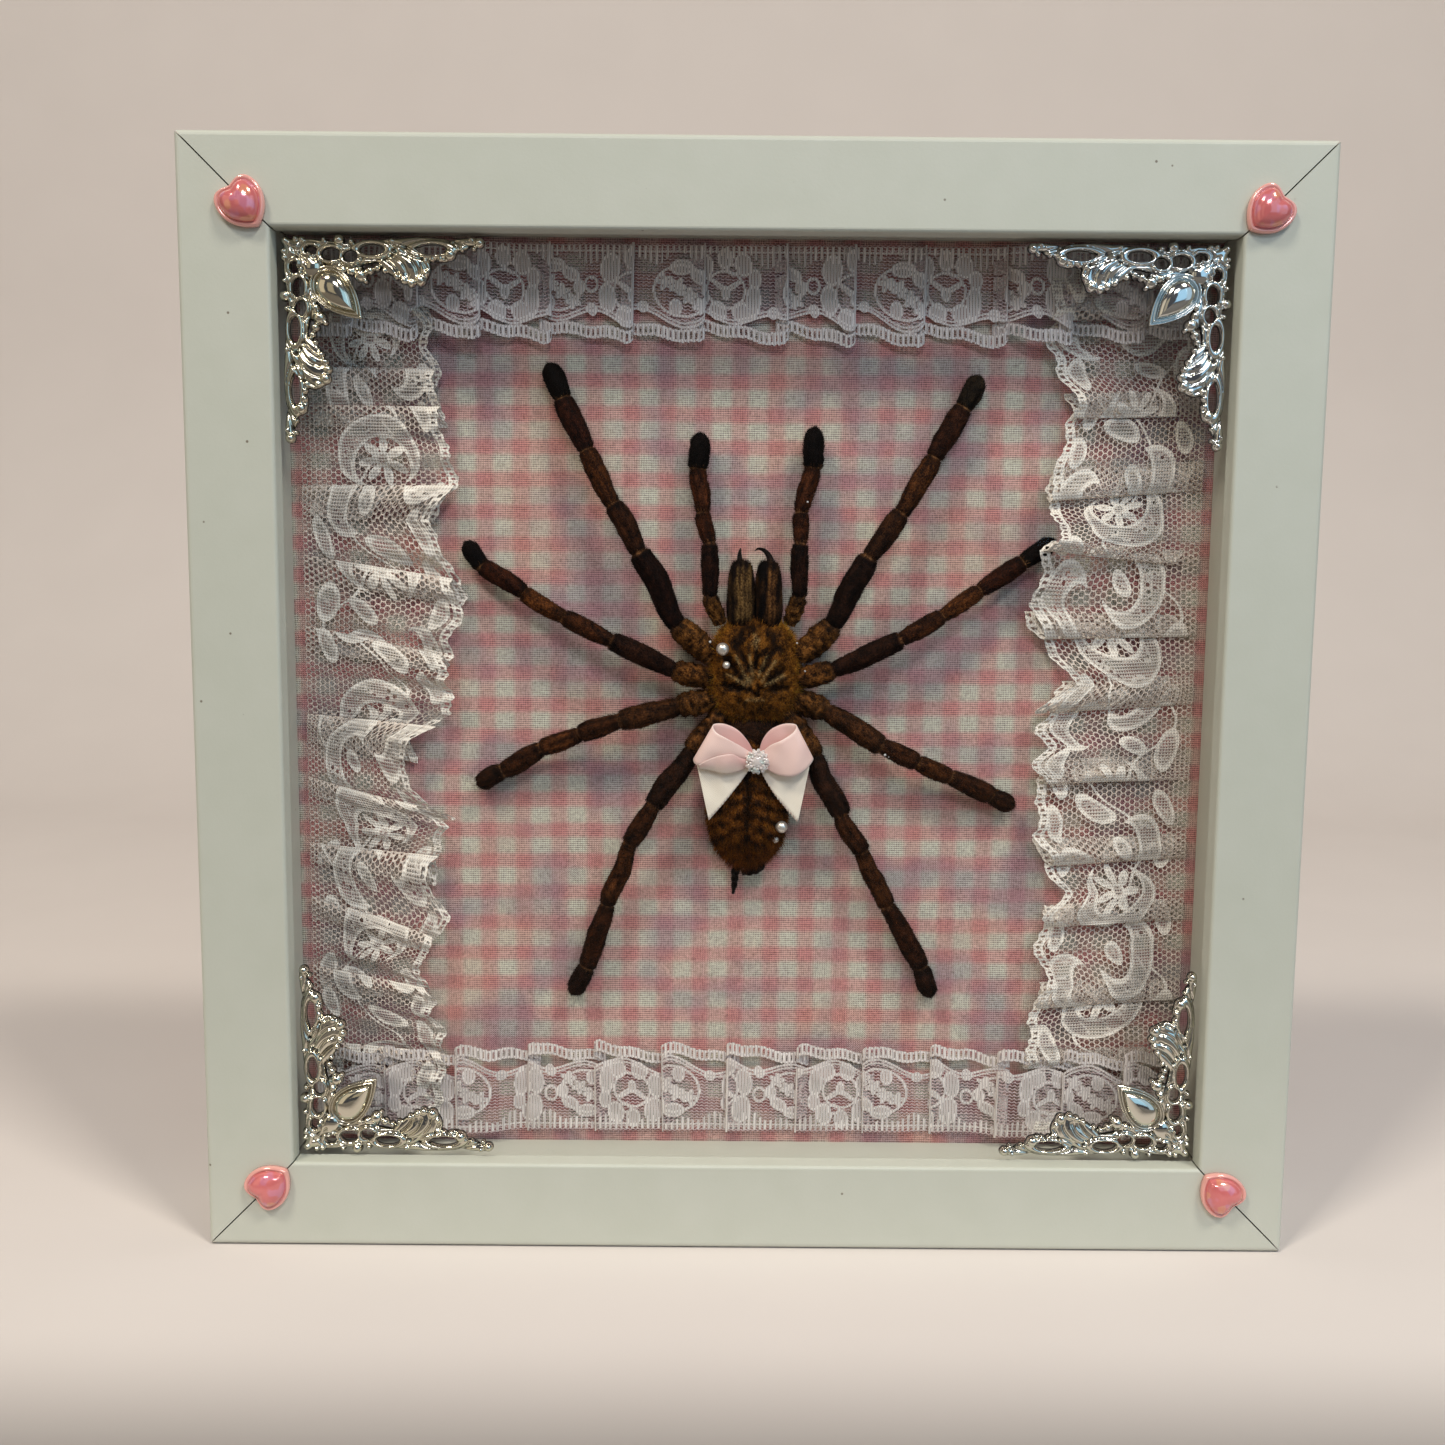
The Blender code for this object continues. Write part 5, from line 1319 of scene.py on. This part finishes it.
def beadGlass():
    p = Paint("clear beads", Roughness=0.05, Coat_Weight=1.0, Coat_Roughness=0.02)
    cloud = p.noise(0.9 * mm)
    # patches of painted green glint
    greenGlint = p.between(p.noise(1.7 * mm), 0.54, 0.64) * 0.6
    colour = p.mix(greenGlint, p.mix(cloud, *beads["clear"]), beads["greenGlint"])
    return p.use(Base_Color=colour, Alpha=0.55 + 0.1 * cloud + 0.35 * p.slant())


def addPearls(finish):
    for name, ((x, z), size, on) in pearls.items():
        height = heightOver(body[on], x, z) + 0.9 * size
        newPiece(name + "_bead", ball((x, z, height), size / 2), finish, [name])


def addBeads(finish):  # rings of beads round a middle one, over a larger one
    x, z = beads["centre"]
    spots = [(0, 0, *beads["middle"], 8, 12), (0, 0, *beads["under"], 12, 20)]
    for count, ring, size, lift in beads["rings"]:
        for k in range(count):
            turn = fullTurn * (k + 0.3 * count) / count
            spots.append((ring * math.cos(turn), ring * math.sin(turn), size, lift, 7, 10))
    parts = [ball((x + across, z + up, beads["height"] + lift), size, rows, columns)
             for across, up, size, lift, rows, columns in spots]
    newPiece("bow_beads_cluster", joinParts(parts), finish, ["bow_beads"])


print("pearls")
addPearls(pearlCoat())
addBeads(beadGlass())


# Ribbon bow

ribbon = {
    "width": 9.4, "thickness": 0.22, "flat": (10, 80), "covered": 0.94,
    "face": ((238, 202, 194), (246, 216, 206)), "selvage": (250, 232, 224), "inside": (206, 142, 140),
    "back": ((247, 235, 216), (254, 247, 231)), "twill": (206, 186, 166), "gaps": (192, 150, 142),
    # each strip runs along two edges, given as (x, z, height) from the knot; shade darkens its inside
    "loop_left": {
        "top": ((-0.4, 1.2, 10.6), (-2.2, 4.6, 10.7), (-4.6, 7.2, 10.8), (-7.6, 8.6, 11.2),
                (-10.1, 8.5, 12.0), (-9.6, 6.9, 12.9), (-7.2, 5.5, 13.2), (-4.2, 3.8, 12.4),
                (-0.8, 1.5, 11.0)),
        "low": ((-0.4, -0.4, 10.4), (-3.6, -0.6, 10.3), (-7.2, -0.6, 10.3), (-11.2, -0.2, 10.4),
                (-14.5, 0.6, 11.2), (-13.8, -0.9, 12.2), (-9.6, 0.3, 12.3), (-5.6, 0.2, 11.9),
                (-0.8, -0.3, 10.8)),
        "shade": (0.8, 0.7, 0.55, 0.35, 0.1, 0, 0, 0.05, 0.25)},
    "loop_right": {
        "top": ((0.4, 1.2, 10.6), (1.0, 4.4, 10.8), (2.9, 7.2, 10.9), (6.0, 8.7, 11.2), (8.8, 8.6, 12.0),
                (8.2, 7.0, 12.9), (5.6, 5.2, 13.2), (3.2, 4.0, 12.4), (0.8, 1.8, 11.0)),
        "low": ((0.4, -0.6, 10.4), (3.6, -0.6, 10.3), (7.2, -0.4, 10.3), (10.6, 0.2, 10.5),
                (12.9, 0.8, 11.4), (11.6, -1.3, 12.5), (8.6, -3.2, 12.9), (4.6, -3.0, 12.2),
                (0.8, -1.0, 10.9)),
        "shade": (0.8, 0.7, 0.55, 0.35, 0.05, 0, 0, 0.05, 0.2)},
    "tuck_left": {
        "top": ((-13.5, -0.9, 12.4), (-11.0, 0.6, 13.0), (-8.5, 1.5, 13.2), (-5.8, 1.8, 13.1),
                (-3.6, 0.8, 12.4), (-0.8, 0.2, 11.2)),
        "low": ((-13.4, -1.8, 11.4), (-10.6, -2.2, 11.7), (-7.4, -2.9, 11.9), (-4.4, -2.4, 11.8),
                (-2.6, -1.6, 11.3), (-0.8, -1.0, 10.9)),
        "shade": (0.0, 0.05, 0.12, 0.3, 0.55, 0.7), "tail": 0.85, "picot": 0},
    "tail_left": {
        "top": ((-0.8, 0.8, 10.0), (-5.2, 0.9, 10.3), (-9.6, 0.4, 10.2), (-13.9, -1.2, 10.0)),
        "low": ((-1.7, -2.0, 10.1), (-4.3, -5.7, 10.4), (-7.6, -10.0, 10.2), (-11.1, -14.2, 9.8)),
        "shade": (0.1, 0.0, 0.0), "tail": 1.0, "picot": 0.1, "rows": 137, "bulge": 0.15},
    "tail_right": {
        "top": ((0.8, 0.8, 10.0), (4.6, 0.9, 10.3), (8.6, 0.2, 10.2), (12.2, -1.4, 10.0)),
        "low": ((0.8, -2.2, 10.1), (3.4, -6.6, 10.4), (6.6, -10.8, 10.2), (9.7, -14.4, 9.8)),
        "shade": (0.1, 0.0, 0.0), "tail": 1.0, "picot": 0.28, "rows": 137, "bulge": 0.15},
}


def satinRibbon():
    p = Paint("pink satin ribbon", Roughness=0.42, Sheen_Weight=0.35, Sheen_Roughness=0.35, Anisotropic=0.4)
    along, across = p.alongAcross()
    tail = p.value("tail")
    twill = p.stripes(across + along * 0.35, 0.34)
    selvage = p.between(p.maths("ABSOLUTE", across), 4.25, 4.5)
    ribs = p.stripes(along, 0.55)
    cloud = p.noise(6 * mm)
    face = p.mix(selvage * 0.6, p.mix(cloud, *ribbon["face"]), ribbon["selvage"])
    colour = p.mix(tail, face, p.mix(cloud, *ribbon["back"]))
    colour = p.mix(p.between(twill, 0.2, 0.9) * tail * 0.25, colour, ribbon["twill"])
    gaps = p.between(p.stripes(along, 0.95), 0.3, -0.3) * selvage * tail
    colour = p.mix(p.value("shade"), p.mix(gaps * 0.55, colour, ribbon["gaps"]), ribbon["inside"])
    ridge = twill * tail * 0.7 + ribs * selvage * 0.7 + selvage * 2
    return p.use(Base_Color=colour, Roughness=0.36 + 0.3 * tail, Normal=p.bump(ridge, 0.05 * mm, 0.5))


def strip(top, low, shade, rows=56, columns=13, bulge=0.35, tail=0.0, picot=0.3, loops=17):
    # a ruled surface between two smooth edges, arched a little across; uv is millimetres along and across
    a, b = curveThrough(top, rows), curveThrough(low, rows)
    down, across = np.linspace(0, 1, rows), np.linspace(0, 1, columns)
    share = across[None, :, None]
    spots = a[:, None] * (1 - share) + b[:, None] * share
    spots[..., 2] += bulge * np.sin(math.pi * share[..., 0]) * ease(down, 0, 0.25)[:, None]
    spots[..., 2] += 0.10 * wander(spots[..., 0], spots[..., 1], 5, 81)
    spots[:, -1] += tail * picot * unit(b - a) * abs(np.sin(np.linspace(0, loops * math.pi, rows)))[:, None]
    x, z = beads["centre"]
    points = onCloth(x + spots[..., 0], z + spots[..., 1], spots[..., 2])
    far = np.concatenate([[0], np.cumsum(np.linalg.norm(np.diff((a + b) / 2, axis=0), axis=1))])
    uv = np.stack(np.broadcast_arrays(far[:, None], (0.5 - share[..., 0]) * ribbon["width"]), -1)
    dark = np.repeat(np.interp(down, np.linspace(0, 1, len(shade)), shade), columns)
    cream = np.tile(tail * (ease(across, 0.3, 1.0) if tail < 1 else 1 + 0 * across), rows)
    return {"points": points.reshape(-1, 3), "faces": [gridFaces(rows, columns)], "uv": uv.reshape(-1, 2),
            "shade": dark, "tail": cream}


def addBow(finish):  # two loops, a fold tucked under the left one, and two flat tails with a slanting end
    parts = [strip(**own) for own in ribbon.values() if isinstance(own, dict)]
    piece = newPiece("bow_satin", joinParts(parts), finish, ["bow_ribbon"])
    wall = piece.modifiers.new("thickness", "SOLIDIFY")
    wall.thickness = ribbon["thickness"] * mm
    wall.offset = 0


print("bow")
addBow(satinRibbon())


# Stage, light and camera

floorValues = {
    # metres: half width, front edge, start and radius of the bend, top, and how far it lies below 0
    "half": 1.6, "front": -1.6, "back": 0.55, "bend": 0.35, "rise": 1.6, "drop": 0.0002,
    # it darkens towards the lens, out of view, so the silver has something dark to mirror
    "paper": ((214, 206, 202), (219, 211, 207)), "dark": (112, 107, 104), "darkFrom": -0.05, "darkTo": -0.12,
}


def palePaper():
    p = Paint("pale paper", Roughness=0.9)
    near = p.between(p.axis(p.place(), 1), floorValues["darkFrom"], floorValues["darkTo"])
    return p.use(Base_Color=p.mix(near, p.mix(p.noise(60 * mm), *floorValues["paper"]), floorValues["dark"]))


def addStage():  # a floor that curves up into a backdrop: y and z of a profile, drawn out along x
    v = floorValues
    turn = np.linspace(0, math.pi / 2, 24)
    y = np.concatenate([[v["front"]], v["back"] + v["bend"] * np.sin(turn), [v["back"] + v["bend"]]])
    z = np.concatenate([[0], v["bend"] * (1 - np.cos(turn)), [v["rise"]]])
    x = np.array([-v["half"], v["half"]])
    points = np.stack(np.broadcast_arrays(x[:, None], y[None], z[None] - v["drop"]), -1).reshape(-1, 3)
    mesh = bpy.data.meshes.new("floor")
    mesh.from_pydata(points.tolist(), [], gridFaces(2, len(y)).tolist())
    mesh.shade_smooth()
    mesh.materials.append(palePaper())
    floor = bpy.data.objects.new("floor", mesh)
    bpy.context.scene.collection.objects.link(floor)


lamps = {  # place, size, watts and colour
    "left": ((-1.0, -1.125, 1.99), (0.42, 0.42), 27.2, (1.0, 0.93, 0.80)),
    "right": ((1.02, -1.1, 2.03), (0.42, 0.42), 27.0, (1.0, 0.93, 0.81)),
    "front": ((0.05, -0.95, 0.85), (0.3, 0.2), 3.0, (0.96, 0.95, 1.0)),
    "cool": ((0.85, -0.55, 0.42), (0.5, 0.8), 1.1, (0.55, 0.80, 1.0)),
    "coolCard": ((0.36, -0.62, 0.38), (0.38, 0.44), 0.62, (0.40, 0.72, 1.0)),
    "warmCard": ((-0.30, -0.62, 0.36), (0.20, 0.34), 0.09, (1.0, 0.86, 0.58)),
    "warm": ((-0.85, -0.5, 0.40), (0.5, 0.8), 0.9, (1.0, 0.86, 0.62)),
}
room = {"Color": (0.82, 0.86, 1.0, 1), "Strength": 0.09}


def addLamps():
    for name, (place, size, watts, colour) in lamps.items():
        data = bpy.data.lights.new(name, "AREA")
        data.shape = "RECTANGLE"
        data.size, data.size_y = size
        data.energy = watts
        data.color = colour
        lamp = bpy.data.objects.new(name, data)
        lamp.location = place
        lamp.rotation_euler = (Vector((0, 0, middleZ)) - Vector(place)).to_track_quat("-Z", "Y").to_euler()
        bpy.context.scene.collection.objects.link(lamp)
    world = bpy.data.worlds.new("studio")
    bpy.context.scene.world = world
    world.use_nodes = True
    for key, value in room.items():
        world.node_tree.nodes["Background"].inputs[key].default_value = value
    bpy.context.scene.view_settings.view_transform = "Standard"


camera = {"place": (-0.007194, -0.33300, 0.159448), "pitch": -6.471, "yaw": 0.126, "roll": 0.508,
          "lens": 35.63, "sensor": 36, "nearest": 0.01}


def addCamera():  # looks along +Y, turned by yaw, tipped by pitch, then rolled about its own view
    pitch, yaw, roll = (math.radians(camera[k]) for k in ("pitch", "yaw", "roll"))
    ahead = Vector((math.sin(yaw) * math.cos(pitch), math.cos(yaw) * math.cos(pitch), math.sin(pitch)))
    across = Vector((math.cos(yaw), -math.sin(yaw), 0))
    up = across.cross(ahead)
    right = across * math.cos(roll) + up * math.sin(roll)
    over = up * math.cos(roll) - across * math.sin(roll)
    data = bpy.data.cameras.new("camera")
    data.lens = camera["lens"]
    data.sensor_width = camera["sensor"]
    data.clip_start = camera["nearest"]
    made = bpy.data.objects.new("camera", data)
    bpy.context.scene.collection.objects.link(made)
    turned = Matrix((right, over, -ahead)).transposed().to_4x4()
    made.matrix_world = Matrix.Translation(camera["place"]) @ turned
    bpy.context.scene.camera = made


print("stage")
addStage()
addLamps()
addCamera()
